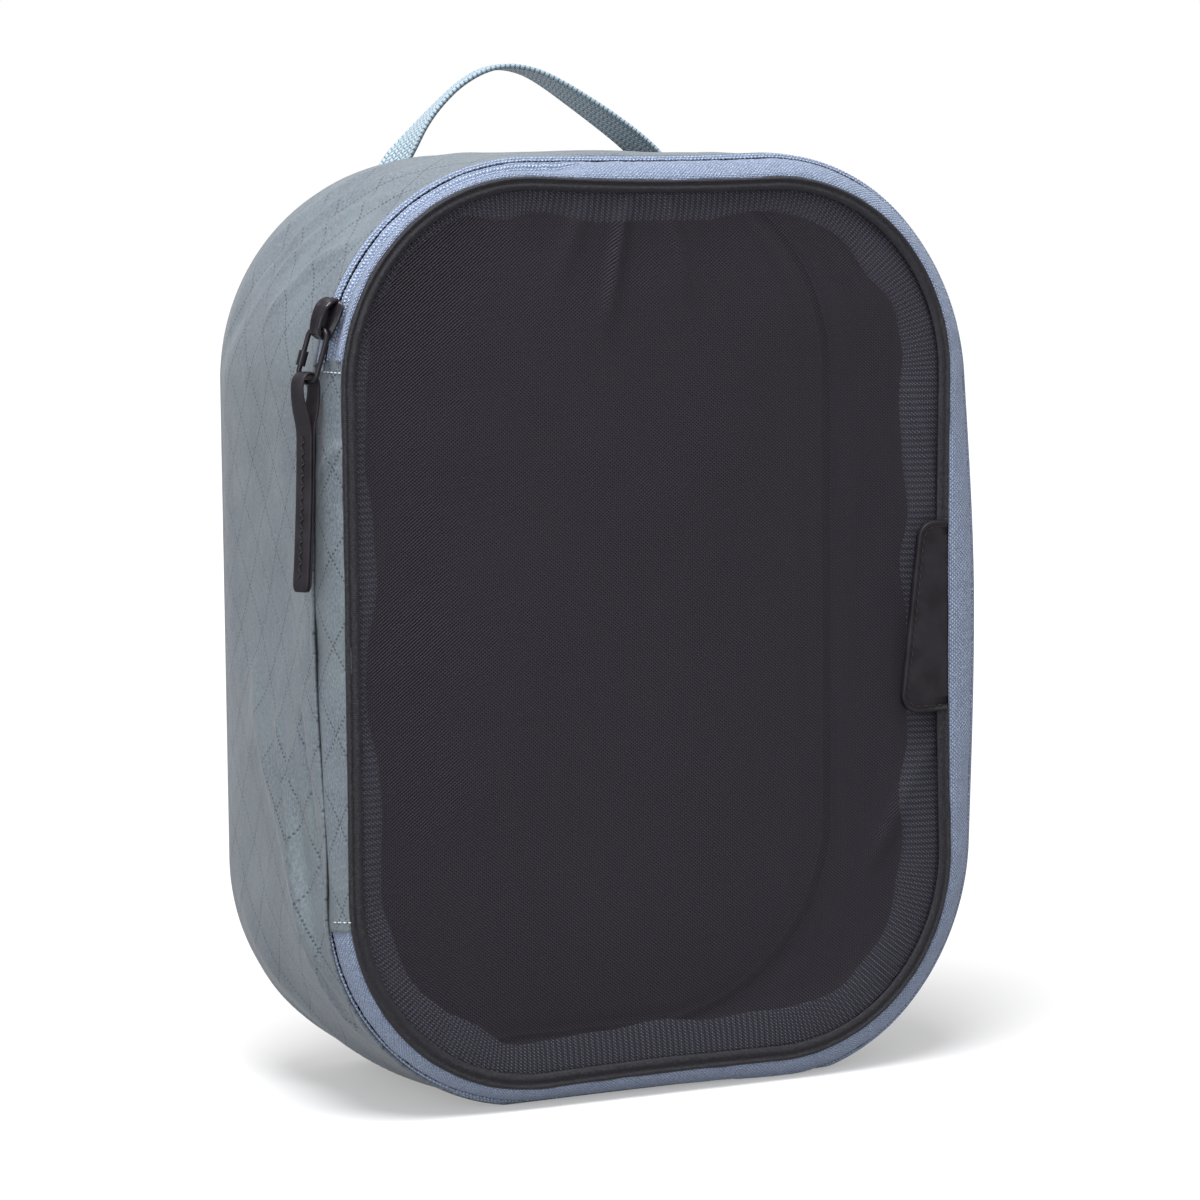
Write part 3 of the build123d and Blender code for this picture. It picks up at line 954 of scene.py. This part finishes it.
def make_back_panel(fabric, inner):
    """Back of the shell: one soft panel, domed a little, rolled over at the seam round its edge."""
    s = np.arange(0, PERIMETER, 2.0 * MM)
    edge = place(s, SEAM_INSET, 0)[:, [0, 2]]
    rings = np.array([0.25, 0.7, 1.3, 2.1, 3.1, 4.4]) * MM
    flat, faces = flat_mesh(edge, 2.2 * MM, SEAM_INSET, rings)
    d = rounded_distance(flat, SEAM_INSET)
    soft = cloth_noise(in_space(flat), (0.8, 46, 11), (0.35, 17, 12))
    rolled = np.sqrt(np.clip(1 - (1 - np.clip(d / (3.2 * MM), 0, 1)) ** 2, 0, 1))
    seam_dip = -0.9 * MM * bell(d - 5.2 * MM, 1.7 * MM)
    dome = 2.6 * MM * smooth_step(d / (60 * MM))
    y = BACK_Y - 1.7 * MM + 2.0 * MM * rolled + seam_dip + dome + soft * smooth_step(d / (14 * MM))
    obj = sheet_pair("back_panel_cloth", flat, faces, y - CLOTH, y, fabric, inner)
    dress(obj, "back_panel", "shell")


def make_hem_rope(name, node, s, inset, y, half_size, binding):
    """Soft binding folded over a seam allowance: a flattened ribbed roll along the outline."""
    sides = 12
    a = np.arange(sides) / sides * 2 * pi
    half_inset, half_y = half_size
    ripple = 0.1 * MM * np.sin(s / (3.1 * MM))
    insets = np.broadcast_to(inset, s.shape)[:, None] + half_inset * np.cos(a) + ripple[:, None]
    ys = np.broadcast_to(y, s.shape)[:, None] + half_y * np.sin(a)
    points = place(s[:, None], insets, ys)
    points = above_floor(points, 0.3 * MM)
    closed = s[-1] - s[0] > PERIMETER * 0.98
    girth = np.linspace(0, 2 * pi * half_inset, sides, endpoint=False)
    obj = grid_object(name, points, s, girth, binding, closed, True)
    if not closed:
        close_tube_ends(obj, len(s), sides)
    dress(obj, node, "shell")


def make_seam_bindings(binding):
    """Bindings inside the shell, over the back seam and behind the gusset's front edge."""
    all_round = np.arange(0, PERIMETER, 1.5 * MM)
    make_hem_rope("back_seam_binding_roll", "back_seam_binding", all_round, 2.4 * MM, 36.2 * MM,
                  (0.8 * MM, 2.8 * MM), binding)
    zipped = zip_range(1.5 * MM)
    front_inset, front_y = gusset_front(zipped)
    make_hem_rope("gusset_seam_binding_roll", "gusset_seam_binding", zipped, front_inset + 2.6 * MM,
                  front_y + 5.0 * MM, (0.7 * MM, 2.2 * MM), binding)


def close_tube_ends(obj, rows, sides):
    """Adds one face at each end of an open tube."""
    mesh = obj.data
    work = bmesh.new()
    work.from_mesh(mesh)
    work.verts.ensure_lookup_table()
    work.faces.new([work.verts[i] for i in range(sides)])
    work.faces.new([work.verts[(rows - 1) * sides + i] for i in reversed(range(sides))])
    bmesh.ops.recalc_face_normals(work, faces=work.faces)
    work.to_mesh(mesh)
    work.free()


def zip_range(step, overlap=0.0):
    """Places along the zipped part of the outline, from the strip's top end round to its lower end."""
    return np.arange(ZIP_TOP_S - overlap, ZIP_BOTTOM_S + overlap, step)


def knit_edge(s):
    """Small scallops of a tape's edge where the coil's threads draw it in."""
    return 0.13 * MM * np.cos(s * 2 * pi / KNIT_PITCH)


def make_outer_tape(knit):
    """Half of the zip tape on the shell's side, from under the gusset's edge to the coil line."""
    s = zip_range(0.5 * MM, 1 * MM)
    front_inset, front_y = gusset_front(s)
    over_inset, over_y = zip_point(s, -1.9 * MM)
    insets, ys = curve_through([
        (front_inset + 1.3 * MM, front_y + 7 * MM),
        (front_inset + 1.0 * MM, np.maximum(front_y, over_y) + 2.0 * MM),
        (over_inset, over_y),
        zip_point(s, -0.22 * MM),
    ], np.linspace(0, 1, 14))
    ys[:, -1] += knit_edge(s)
    points = above_floor(place(s[:, None], insets, ys), 0.75 * MM)
    obj = cloth_object("gusset_zip_tape_knit", points, s, knit, thickness=0.6 * MM)
    dress(obj, "gusset_zip_tape", "shell")


def make_lid_band(knit):
    """Puffy knitted band of the lid, between the coil line and the window's binding."""
    s = zip_range(0.5 * MM)
    v = np.linspace(0, 1, 26)
    edge = np.array(zip_point(s, 0.22 * MM))
    end = np.array(window_edge(s)) + np.array([[0.9], [0.5]]) * MM
    puff = around(s, 1.1, 1.5, 1.3, 1.3, 1.2, 1.1, 0.9, 1.0) * MM
    run_inset, run_y = end - edge
    outwards = np.array([run_y, -run_inset]) / np.hypot(run_inset, run_y) * puff
    insets, ys = curve_through([
        edge,
        part_way(edge, end, 0.2) + outwards * 0.75,
        (edge + end) / 2 + outwards * 1.1,
        part_way(edge, end, 0.8) + outwards * 0.95,
        end,
    ], v)
    ys[:, 0] -= knit_edge(s)
    points = place(s[:, None], insets, ys)
    pressed = near_path(s)[:, None] * smooth_step(v / 0.2) * (1 - smooth_step((v - 0.35) / 0.45))
    points = push(points, -2.1 * MM * pressed)
    points = push(points, cloth_noise(points, (0.16, 5, 21), (0.09, 1.3, 22)))
    points = above_floor(points, 0.15 * MM)
    obj = cloth_object("lid_zip_tape_knit", points, s, knit, thickness=0.8 * MM)
    dress(obj, "lid_zip_tape", "lid")


def make_coil(name, node, side, s, plastic, body):
    """Zip coil: a fine ridged spiral of plastic behind the tape's edge."""
    pitch, spiral_radius, thread_radius = 1.35 * MM, 0.42 * MM, 0.19 * MM
    inset, y = coil_line(s)
    centre = above_floor(place(s, inset + side * COIL_SIDE, y - side * COIL_SIDE), 1.5 * MM)
    _, _, nx, nz = outline(s)
    outward = np.stack([nx, 0 * nx, nz], -1)
    across = (FORWARD - outward) * DIAGONAL
    normal = (FORWARD + outward) * DIAGONAL
    angle = (s * 2 * pi / pitch)[:, None]
    turn = np.cos(angle) * across * 1.1 + np.sin(angle) * normal * 0.8
    obj = join_parts(name, [tube(centre + spiral_radius * turn, thread_radius, 5)], plastic)
    dress(obj, node, body)


def make_end_stops(plastic):
    """Crimped stops at both ends of the gusset's coil."""
    half_length, points_along = 1.6 * MM, 9
    t = np.linspace(-1, 1, points_along)
    swell = 0.85 * MM * (1 - 0.25 * np.abs(t) ** 3)
    parts = []
    for middle in (ZIP_TOP_S - 1.6 * MM, ZIP_BOTTOM_S + 2.4 * MM):
        s = middle + half_length * t
        inset, y = coil_line(s)
        parts.append(tube(place(s, inset - COIL_SIDE, y + COIL_SIDE), swell))
    dress(join_parts("zip_end_stop_pair", parts, plastic), "zip_end_stops", "shell")


def make_strip(fabric, inner):
    """Cloth strip that the lid hinges on, with a fold across each end."""
    s = np.arange(ZIP_BOTTOM_S - PERIMETER - 1.2 * MM, ZIP_TOP_S + 1.2 * MM, STRIP_SPACING)
    v = np.linspace(0, 1, 30)
    window_inset, window_y = window_edge(s)
    front_inset, front_y = gusset_front(s)
    start_inset, end_inset, end_y = front_inset + 1.0 * MM, window_inset + 0.8 * MM, window_y + 0.6 * MM
    near_end = np.minimum(s - s[0], s[-1] - s) / (7 * MM)
    end_lift = 0.5 * MM * (1 - smooth_step(near_end))
    middle = 1.1 * MM * smooth_step(near_end * 0.5)
    insets, ys = curve_through([
        (front_inset + 1.9 * MM, front_y + 7 * MM),
        (front_inset + 1.3 * MM, front_y + 1.5 * MM),
        (part_way(start_inset, end_inset, 0.35) - middle - end_lift,
         part_way(front_y, end_y, 0.38) - 0.4 * MM),
        (part_way(start_inset, end_inset, 0.72) - middle * 0.9 - end_lift,
         part_way(front_y, end_y, 0.74) - 0.7 * MM),
        (end_inset - 0.4 * MM, end_y - 0.5 * MM),
        (end_inset, end_y),
    ], v)
    points = place(s[:, None], insets, ys)
    wrinkle = cloth_noise(points, (0.35, 16, 31), (0.22, 7, 32))
    wrinkle = with_folds(wrinkle, np.broadcast_to(s[:, None], ys.shape), ys, [
        ((54, -41), (44, -33), 1.4, 0.7), ((36, -41), (20, -36), 1.8, 0.5),
        ((-70, -38), (-20, -34), 1.8, 0.6),
    ])
    points = push(points, wrinkle * smooth_step(np.minimum(v, 1 - v) / 0.2))
    obj = cloth_object("hinge_strip_cloth", points, s, fabric)
    line_inside(obj, len(v), inner)
    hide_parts("hinge_strip")
    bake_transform(obj)
    return points


def make_strip_stitches(points, thread):
    """Row of stitches across each end of the hinge strip, on the grid of points of its outer face."""
    from_end = int(3.6 * MM / STRIP_SPACING)
    raised = 0.1 * MM
    parts = []
    for row in (from_end, len(points) - 1 - from_end - 1):
        line, before, after = (points[i, 10:27] for i in (row, row - 1, row + 1))
        out = np.cross(np.gradient(line, axis=0), after - before)
        out /= np.linalg.norm(out, axis=1, keepdims=True)
        parts += stitch_row(line + out * raised, out, 1.15 * MM, 0.45 * MM, 0.3 * MM, 0.2 * MM)
    obj = join_parts("strip_end_stitch_rows", parts, thread)
    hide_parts("strip_end_stitches")
    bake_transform(obj)


# ---- Lid ----

def make_window_binding(binding):
    """Black binding round the window, folded over the seam: two soft ridges with a valley between."""
    s = np.arange(0, PERIMETER, 1.0 * MM)
    w = np.linspace(0, 1, 20)
    window_inset, window_y = window_edge(s)
    width = BINDING_WIDTH + around(s, 0.5, 0.4, 0.0, 0.2, 0.2, 0.6, 0.9, 0.8)[:, None] * MM
    ridge = 0.95 * MM * bell(w - 0.17, 0.16) + 0.85 * MM * bell(w - 0.68, 0.26)
    ridge = ridge * around(s, 1, 1, 1, 0.9, 0.35, 0.8, 1, 1)[:, None]
    ends = smooth_step(np.minimum(w, 1 - w) / 0.08)
    insets = window_inset[:, None] - 0.15 * MM + width * w
    ys = window_y[:, None] + 0.35 * MM - (ridge * ends + 0.15 * MM)
    points = place(s[:, None], insets, ys)
    points = push(points, cloth_noise(points, (0.12, 6, 41)))
    obj = cloth_object("window_binding_fold", points, s, binding, True, thickness=0.5 * MM)
    dress(obj, "window_binding", "lid")


def net_shape(flat):
    """Depth of the mesh window: nearly flat, with soft folds from its top and beside the tab."""
    x, z = flat.T
    d = rounded_distance(flat, 6.5 * MM)
    soft = cloth_noise(in_space(flat), (0.9, 55, 51), (0.3, 18, 52))
    soft -= 2.2 * MM * smooth_step(d / (45 * MM))
    folds = with_folds(0.0, x, z, [
        ((-8, 252), (-16, 214), 1.5, 2.2), ((2, 252), (10, 222), 1.4, 1.9),
        ((-20, 250), (-30, 226), 1.8, 1.3), ((90, 158), (78, 196), 1.4, 1.5),
        ((90, 98), (66, 60), 2.2, 1.5),
    ])
    return (soft - folds) * smooth_step(d / (7 * MM))


def make_window(net):
    """The see-through window itself, stretched in its binding."""
    s = np.arange(0, PERIMETER, 2.0 * MM)
    edge = place(s, window_edge(s)[0] + 1.2 * MM, 0)[:, [0, 2]]
    flat, faces = flat_mesh(edge, 2.0 * MM, 7.2 * MM)
    y = -41.3 * MM + net_shape(flat)
    uvs = np.concatenate([flat[list(f)] for f in faces])
    points = in_space(flat, y)
    obj = new_object("mesh_window_net", points, faces, uvs, net)
    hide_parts("mesh_window")
    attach(obj, "lid")


def make_seam_tape(ribbed):
    """Ribbed tape behind the window's edge, with a loose wavy inner edge."""
    s = np.arange(0, PERIMETER, RIB_PITCH / 5)
    w = np.linspace(0, 1, 9)
    rim = place(s, 0, 0)
    width = 8.2 * MM + cloth_noise(rim, (1.9, 16, 61))
    width += cloth_noise(rim, (1.4, 31, 62))
    width += around(s, -2.6, -2.2, -0.5, 1.6, 1.8, 2.0, 2.6, 3.0) * MM
    insets = window_edge(s)[0][:, None] + 2.6 * MM + width[:, None] * w
    droop = 1.5 * MM + cloth_noise(rim, (0.6, 12, 63))
    ribs = 0.16 * MM * np.sin(s * 2 * pi / RIB_PITCH)[:, None] * smooth_step(w * 8)
    ys = -40.7 * MM + 0.5 * MM * w + droop[:, None] * w * w + ribs
    points = place(s[:, None], insets, ys)
    obj = cloth_object("seam_tape_ribbed", points, s, ribbed, True, thickness=0.35 * MM)
    dress(obj, "lid_seam_tape", "lid")


# ---- Slider and puller ----

def slider_frame():
    """Origin and axes of the slider: across the tape, along the zip, out of the cloth."""
    radial = np.array([-cos(SLIDER_ANGLE), 0, sin(SLIDER_ANGLE)])
    corner_centre = np.array([CORNER - HALF_W, ZIP_Y, GUSSET_HIGH.z - CORNER])
    across = FORWARD * cos(SLIDER_TILT) - radial * sin(SLIDER_TILT)
    out = radial * cos(SLIDER_TILT) + FORWARD * sin(SLIDER_TILT)
    return corner_centre + radial * (CORNER - ZIP_INSET), across, np.cross(out, across), out


def framed(points, frame_axes):
    """Points given in a local frame, placed in the model's."""
    origin, x, y, z = frame_axes
    p = np.asarray(points, float)
    return origin + p[..., :1] * x + p[..., 1:2] * y + p[..., 2:3] * z


def soft_rectangle(width, height, power=4.0, count=28):
    """Closed section: a rectangle with rounded corners, as a superellipse."""
    a = np.arange(count) * 2 * pi / count
    x = np.sign(np.cos(a)) * np.abs(np.cos(a)) ** (2 / power) * width / 2
    z = np.sign(np.sin(a)) * np.abs(np.sin(a)) ** (2 / power) * height / 2
    return x, z


def slider_plate(level, thick, scale, flare):
    """Upper or lower plate at a level in millimetres, wider at its mouth, its rims turned down by flare."""
    sections = []
    for q in np.linspace(-1, 1, 25):
        round_end = np.sqrt(max(1 - abs(q) ** 7, 0.03))
        wide = (6.1 + 2.4 * smooth_step((q + 0.85) / 1.1)) * MM * scale * round_end
        x, z = soft_rectangle(wide, thick * MM * (0.55 + 0.45 * round_end), 3.2)
        rim = -flare * MM * smooth_step((np.abs(x) / (wide / 2) - 0.45) / 0.5)
        dish = level * MM + rim * (level > 0) - 0.25 * MM * q * q
        sections.append(np.stack([x, np.full_like(x, q * SLIDER_HALF_LENGTH), z + dish], -1))
    return loft(sections)


def slider_wall(side, low, high):
    """Side wall under the upper plate, from low to high in millimetres, that follows its flared edge."""
    sections = []
    for q in np.linspace(-0.62, 0.72, 15):
        wide = (3.05 + 1.25 * smooth_step((q + 0.75) / 1.2)) * MM
        x, z = soft_rectangle(0.8 * MM, (high - low) * MM, 3.0, 16)
        sections.append(np.stack([x + side * (wide - 0.42 * MM), np.full_like(x, q * SLIDER_HALF_LENGTH),
                                  z + (high + low) / 2 * MM], -1))
    return loft(sections)


def slider_neck():
    """Thin neck that joins the two plates at the narrow end."""
    x, y = soft_rectangle(0.5 * MM, 1.8 * MM, 3.0, 16)
    levels = (-2.0, -0.5, 1.0, 2.6)
    return loft([np.stack([x, y - 4.2 * MM, np.full_like(x, level * MM)], -1) for level in levels])


def make_slider_body(metal):
    """Cast slider: a plate flared at its mouth, side walls, neck and lower plate."""
    axes = slider_frame()
    parts = [slider_plate(3.1, 1.1, 1.0, 0.4), slider_plate(-2.1, 0.8, 0.86, 0.2),
             slider_wall(-1, 0.9, 2.6), slider_wall(1, 2.25, 2.8), slider_neck()]
    obj = join_parts("slider_body_cast", [(framed(v, axes), f) for v, f in parts], metal)
    fix_normals(obj)
    dress(obj, "slider_body", "slider")


def make_slider_crown(metal):
    """Cast bridge over the upper plate that holds the pull ring, with raised edges."""
    path = np.array([(-5.2, 2.9), (-5.1, 4.2), (-4.6, 5.5), (-3.5, 6.25), (-1.5, 6.55), (0.6, 6.5),
                     (2.4, 6.1), (3.8, 5.2), (4.7, 4.0), (5.1, 3.0)]) * MM
    fine = np.linspace(0, len(path) - 1, 40)
    y, z = point_at(fine, np.arange(len(path)), path)
    tangent = unit_tangent(y, z)
    sections = []
    for k, share in enumerate(np.linspace(0, 1, len(fine))):
        wide = (3.9 + 1.0 * smooth_step((share - 0.25) / 0.6)) * MM
        x, thick = soft_rectangle(wide, 0.95 * MM, 3.4)
        crest = 0.28 * MM * bell(np.abs(x) / (wide / 2) - 0.72, 0.2) * (thick > 0)
        offset = thick + crest
        sections.append(np.stack([x, y[k] - tangent[k, 1] * offset, z[k] + tangent[k, 0] * offset], -1))
    vertices, faces = loft(sections)
    obj = join_parts("slider_crown_cast", [(framed(vertices, slider_frame()), faces)], metal)
    fix_normals(obj)
    dress(obj, "slider_crown", "slider")


def strap_frame():
    """Origin and axes of the strap at the ring: across it, up along it, out of its face."""
    low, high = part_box("pull_strap")
    across = np.array([cos(STRAP_TURN), sin(STRAP_TURN), 0])
    origin = np.array([(low.x + high.x) / 2, (low.y + high.y) / 2, high.z - 3.1 * MM])
    return origin, across, UPWARD, np.cross(across, UPWARD)


def strap_lean(below):
    """How far the strap leans away from the shell, at metres below the ring."""
    return 2.6 * MM * (below / (55 * MM)) ** 2


def make_strap(rubber):
    """Pull strap: one band folded round the ring in a teardrop, its two layers sewn together below."""
    up_side = [(0.52, -STRAP_LENGTH / MM), (0.52, -40), (0.52, -22), (0.52, -13.5), (0.9, -11), (2.1, -7.6),
               (3.1, -3.6), (3.2, 0.0), (2.1, 2.1), (0.0, 2.75)]
    path = np.array(up_side + [(-a, b) for a, b in up_side[-2::-1]]) * MM
    along = distance_along(path)
    q = np.linspace(0, along[-1], 150)
    gap, height = smooth_resample(along, path[:, 0], q), smooth_resample(along, path[:, 1], q)
    tangent = unit_tangent(gap, height)
    sections = []
    for k in range(len(q)):
        below = np.clip(-height[k], 0, 100 * MM)
        wide = (4.5 + 1.1 * smooth_step((below - 2 * MM) / (8 * MM))) * MM
        tip = np.clip((below - 53.3 * MM) / (2.2 * MM), 0, 1)
        wide *= np.sqrt(max(1 - (tip * 0.86) ** 2, 0.05))
        x, thick = soft_rectangle(wide, 1.0 * MM, 3.6)
        sections.append(np.stack([x, height[k] + tangent[k, 0] * thick,
                                  gap[k] - tangent[k, 1] * thick + strap_lean(below)], -1))
    vertices, faces = loft(sections)
    obj = join_parts("pull_strap_band", [(framed(vertices, strap_frame()), faces)], rubber)
    fix_normals(obj)
    dress(obj, "pull_strap", "puller_strap")


def make_strap_stitches(thread):
    """Zigzag of stitches down the middle of both faces of the strap."""
    axes = strap_frame()
    count, first, pitch, length, half_sway = 26, 14.0 * MM, 1.45 * MM, 1.35 * MM, 0.55 * MM
    parts = []
    for face in (-1, 1):
        for k in range(count):
            y = -(first + pitch * k)
            sway = half_sway if k % 2 else -half_sway
            z = face * 1.02 * MM + strap_lean(-y)
            start, end = framed([[sway, y, z], [-sway, y - length, z]], axes)
            parts.append(stitch(start, end, face * axes[3], 0.24 * MM, 0.9))
    obj = join_parts("strap_stitch_rows", parts, thread)
    dress(obj, "strap_stitching", "puller_strap")


def smooth_resample(knots, values, q, passes=6):
    """Values at q along knots, rounded off between them: the more passes, the rounder."""
    rough = np.interp(q, knots, values)
    for _ in range(passes):
        rough[1:-1] = (rough[:-2] + 2 * rough[1:-1] + rough[2:]) / 4
    return rough


# ---- Handle ----

def make_handle(webbing):
    """Grab handle: one arch of webbing, slack on its right, its feet turned under and sewn down."""
    arch = [(-43.2, 257.0), (-41.0, 260.5), (-36.5, 266.5), (-31.0, 273.0), (-22.5, 281.0), (-14.0, 286.0),
            (-6.5, 287.2), (2.0, 285.4), (10.0, 281.2), (20.0, 275.0), (29.0, 269.0), (35.5, 264.2),
            (40.0, 260.0), (42.0, 257.0)]
    path = np.array(arch) * MM
    path[:, 0] += HANDLE_X
    along = distance_along(path)
    q = np.linspace(0, along[-1], 150)
    x, z = smooth_resample(along, path[:, 0], q, 50), smooth_resample(along, path[:, 1], q, 50)
    tangent = unit_tangent(x, z)
    across = np.linspace(0, 1, 26) - 0.5
    share = q / along[-1]
    narrow = 1 - 0.16 * bell(share, 0.06) - 0.06 * bell(1 - share, 0.06)
    turn = radians(32) * smooth_step((share - 0.45) / 0.4) + radians(28) * bell(share, 0.1)
    turn -= radians(14) * bell(share - 0.28, 0.16)
    reach = across[None] * WEB_WIDTH * 0.97 * narrow[:, None]
    crown = 0.35 * MM * np.cos(across * pi)[None] * (1 - 3 * bell(share, 0.07))[:, None]
    lip = 0.16 * MM * bell(np.abs(across) - 0.46, 0.035)[None]
    offset = crown + lip
    points = np.stack([x[:, None] - reach * np.sin(turn)[:, None] - tangent[:, 1:2] * offset,
                       HANDLE_Y + reach * np.cos(turn)[:, None], z[:, None] + tangent[:, :1] * offset], -1)
    obj = cloth_object("handle_webbing_arch", points[:, ::-1], q, webbing, thickness=1.3 * MM)
    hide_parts("handle_webbing")
    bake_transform(obj)


def make_handle_tails(webbing):
    """Turned-under tails of the handle, inside the gusset."""
    low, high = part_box("handle_tails")
    length = 12 * MM
    q = np.linspace(0, length, 12)
    share = np.linspace(0, 1, 10) - 0.5
    for side, end_x, name in ((-1, low.x, "handle_tail_left"), (1, high.x, "handle_tail_right")):
        y = (low.y + high.y) / 2 + share * (high.y - low.y)
        gx, gy = np.meshgrid(end_x - side * q, y, indexing="ij")
        gz = (low.z + high.z) / 2 + 0.4 * MM + 0.2 * MM * np.sin(gx / (1.4 * MM)) + 0 * gy
        obj = cloth_object(name, np.stack([gx, gy, gz], -1), q, webbing, thickness=0.8 * MM)
        dress(obj, "handle_tails", "shell")


def make_bartacks(thread):
    """Dense rows of stitches that hold the handle's feet down."""
    low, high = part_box("handle_bartacks")
    count, half_length, slant = 19, 1.1 * MM, 0.25 * MM
    z = high.z + 0.1 * MM
    parts = []
    for x in (low.x + 1.2 * MM, high.x - 1.2 * MM):
        for k in range(count):
            y = low.y + (high.y - low.y) * k / (count - 1)
            start, end = (x - half_length, y, z), (x + half_length, y + slant, z)
            parts.append(stitch(start, end, UPWARD, 0.24 * MM, 0.5))
    obj = join_parts("handle_bartack_stitches", parts, thread)
    dress(obj, "handle_bartacks", "shell")


# ---- Side tab ----

def tab_outline(inset):
    """Tab's outline, drawn in by inset: square at the seam, rounded at its slanted free edge."""
    slant = 6.5 * MM
    free, seam = TAB_LOW.x - 2.2 * MM, TAB_HIGH.x - 2.0 * MM
    top, low = np.array([free + slant, TAB_HIGH.z]), np.array([free, TAB_LOW.z])
    down = (low - top) / np.linalg.norm(low - top)
    right = np.array([1.0, 0])
    points = [(seam, TAB_HIGH.z - inset)]
    for corner, before, after, rounding in ((top, right, down, 5.2 * MM), (low, -down, right, 5.0 * MM)):
        radius = rounding - inset
        half = np.arccos(np.clip(np.dot(before, after), -1, 1)) / 2
        middle = (before + after) / np.linalg.norm(before + after)
        centre = corner + middle * (radius + inset) / sin(half)
        start = perpendicular(before, centre - corner)
        finish_at = perpendicular(after, centre - corner)
        for t in np.linspace(0, 1, 14):
            way = -(start * (1 - t) + finish_at * t)
            way /= np.linalg.norm(way)
            points.append(tuple(centre + way * radius))
    points.append((seam, TAB_LOW.z + inset))
    return np.array(points)


def perpendicular(direction, towards):
    """Unit vector square to a direction, on the side of another vector."""
    n = np.array([-direction[1], direction[0]])
    return n if np.dot(n, towards) > 0 else -n


def tab_tuck(x):
    """How far the tab's face drops near the seam, where it goes under the window's binding."""
    return 0.7 * MM * smooth_step((x - (TAB_HIGH.x - 5.0 * MM)) / (3.0 * MM))


def make_tab(rubber):
    """Blank rubber tab at the side of the window: a raised rim round a sunk field."""
    front, back = TAB_LOW.y, TAB_HIGH.y
    steps = [(0.15, 0.12), (0.45, 0.0), (0.85, 0.05), (1.15, 0.32), (1.5, 0.36), (2.1, 0.34), (2.6, 0.26),
             (4.2, 0.22)]
    profile = [(0.0, back), (0.0, front + 0.5 * MM)] + [(a * MM, front + b * MM) for a, b in steps]
    rows = []
    for inset, y in profile:
        rows.append(in_space(tab_outline(inset), y))
    rows = np.array(rows)
    rows[..., 1] += tab_tuck(rows[..., 0]) * (rows[..., 1] < back - 0.1 * MM)
    obj = join_parts("side_tab_moulded", [loft(rows)], rubber)
    fix_normals(obj)
    obj.data.polygons.foreach_set("use_smooth", [len(p.vertices) == 4 for p in obj.data.polygons])
    dress(obj, "side_tab", "tab")


def make_tab_stitches(thread):
    """Row of stitches along the tab's rim."""
    loop = tab_outline(1.75 * MM)
    path = in_space(loop, TAB_LOW.y + 0.36 * MM + tab_tuck(loop[:, 0]))
    out = np.tile(FORWARD, (len(path), 1))
    parts = stitch_row(path, out, 1.7 * MM, 0.75 * MM, 0.375 * MM, 0.19 * MM)
    obj = join_parts("side_tab_stitches", parts, thread)
    dress(obj, "side_tab_stitching", "tab")


# ---- Assembly ----

def paint_node(node, material):
    """Gives a CAD node that stays in view its finished material."""
    obj = bpy.data.objects[node]
    obj.data.materials.clear()
    obj.data.materials.append(material)
    obj.data.polygons.foreach_set("use_smooth", [True] * len(obj.data.polygons))


def main():
    make_camera()
    make_studio()
    fabric, inner, knit = shell_fabric(), shaded_lining(), knit_tape()
    binding, net, ribbed = black_binding(), mesh_net(), ribbed_tape()
    plastic, webbing, metal, rubber = coil_plastic(), webbing_weave(), black_metal(), black_rubber()
    thread = sewing_thread("thread", (0.16, 0.20, 0.22), (0.42, 0.48, 0.50))
    black_thread = sewing_thread("black_thread", (0.004, 0.004, 0.005), (0.013, 0.012, 0.014))
    make_gusset(fabric, inner)
    make_back_panel(fabric, inner)
    make_seam_bindings(binding)
    make_outer_tape(knit)
    make_lid_band(knit)
    coil_s = zip_range(0.14 * MM)
    make_coil("gusset_coil_spiral", "gusset_zip_coil", -1, coil_s, plastic, "shell")
    make_coil("lid_coil_spiral", "lid_zip_coil", 1, coil_s[180:], plastic, "lid")
    make_end_stops(plastic)
    make_strip_stitches(make_strip(fabric, inner), thread)
    make_window_binding(binding)
    make_window(net)
    make_seam_tape(ribbed)
    make_slider_body(metal)
    make_slider_crown(metal)
    for node in ("slider_lock_spring", "pull_ring", "ring_ferrule"):
        paint_node(node, metal)
    make_strap(rubber)
    make_strap_stitches(black_thread)
    make_handle(webbing)
    make_handle_tails(webbing)
    make_bartacks(thread)
    make_tab(rubber)
    make_tab_stitches(black_thread)


main()
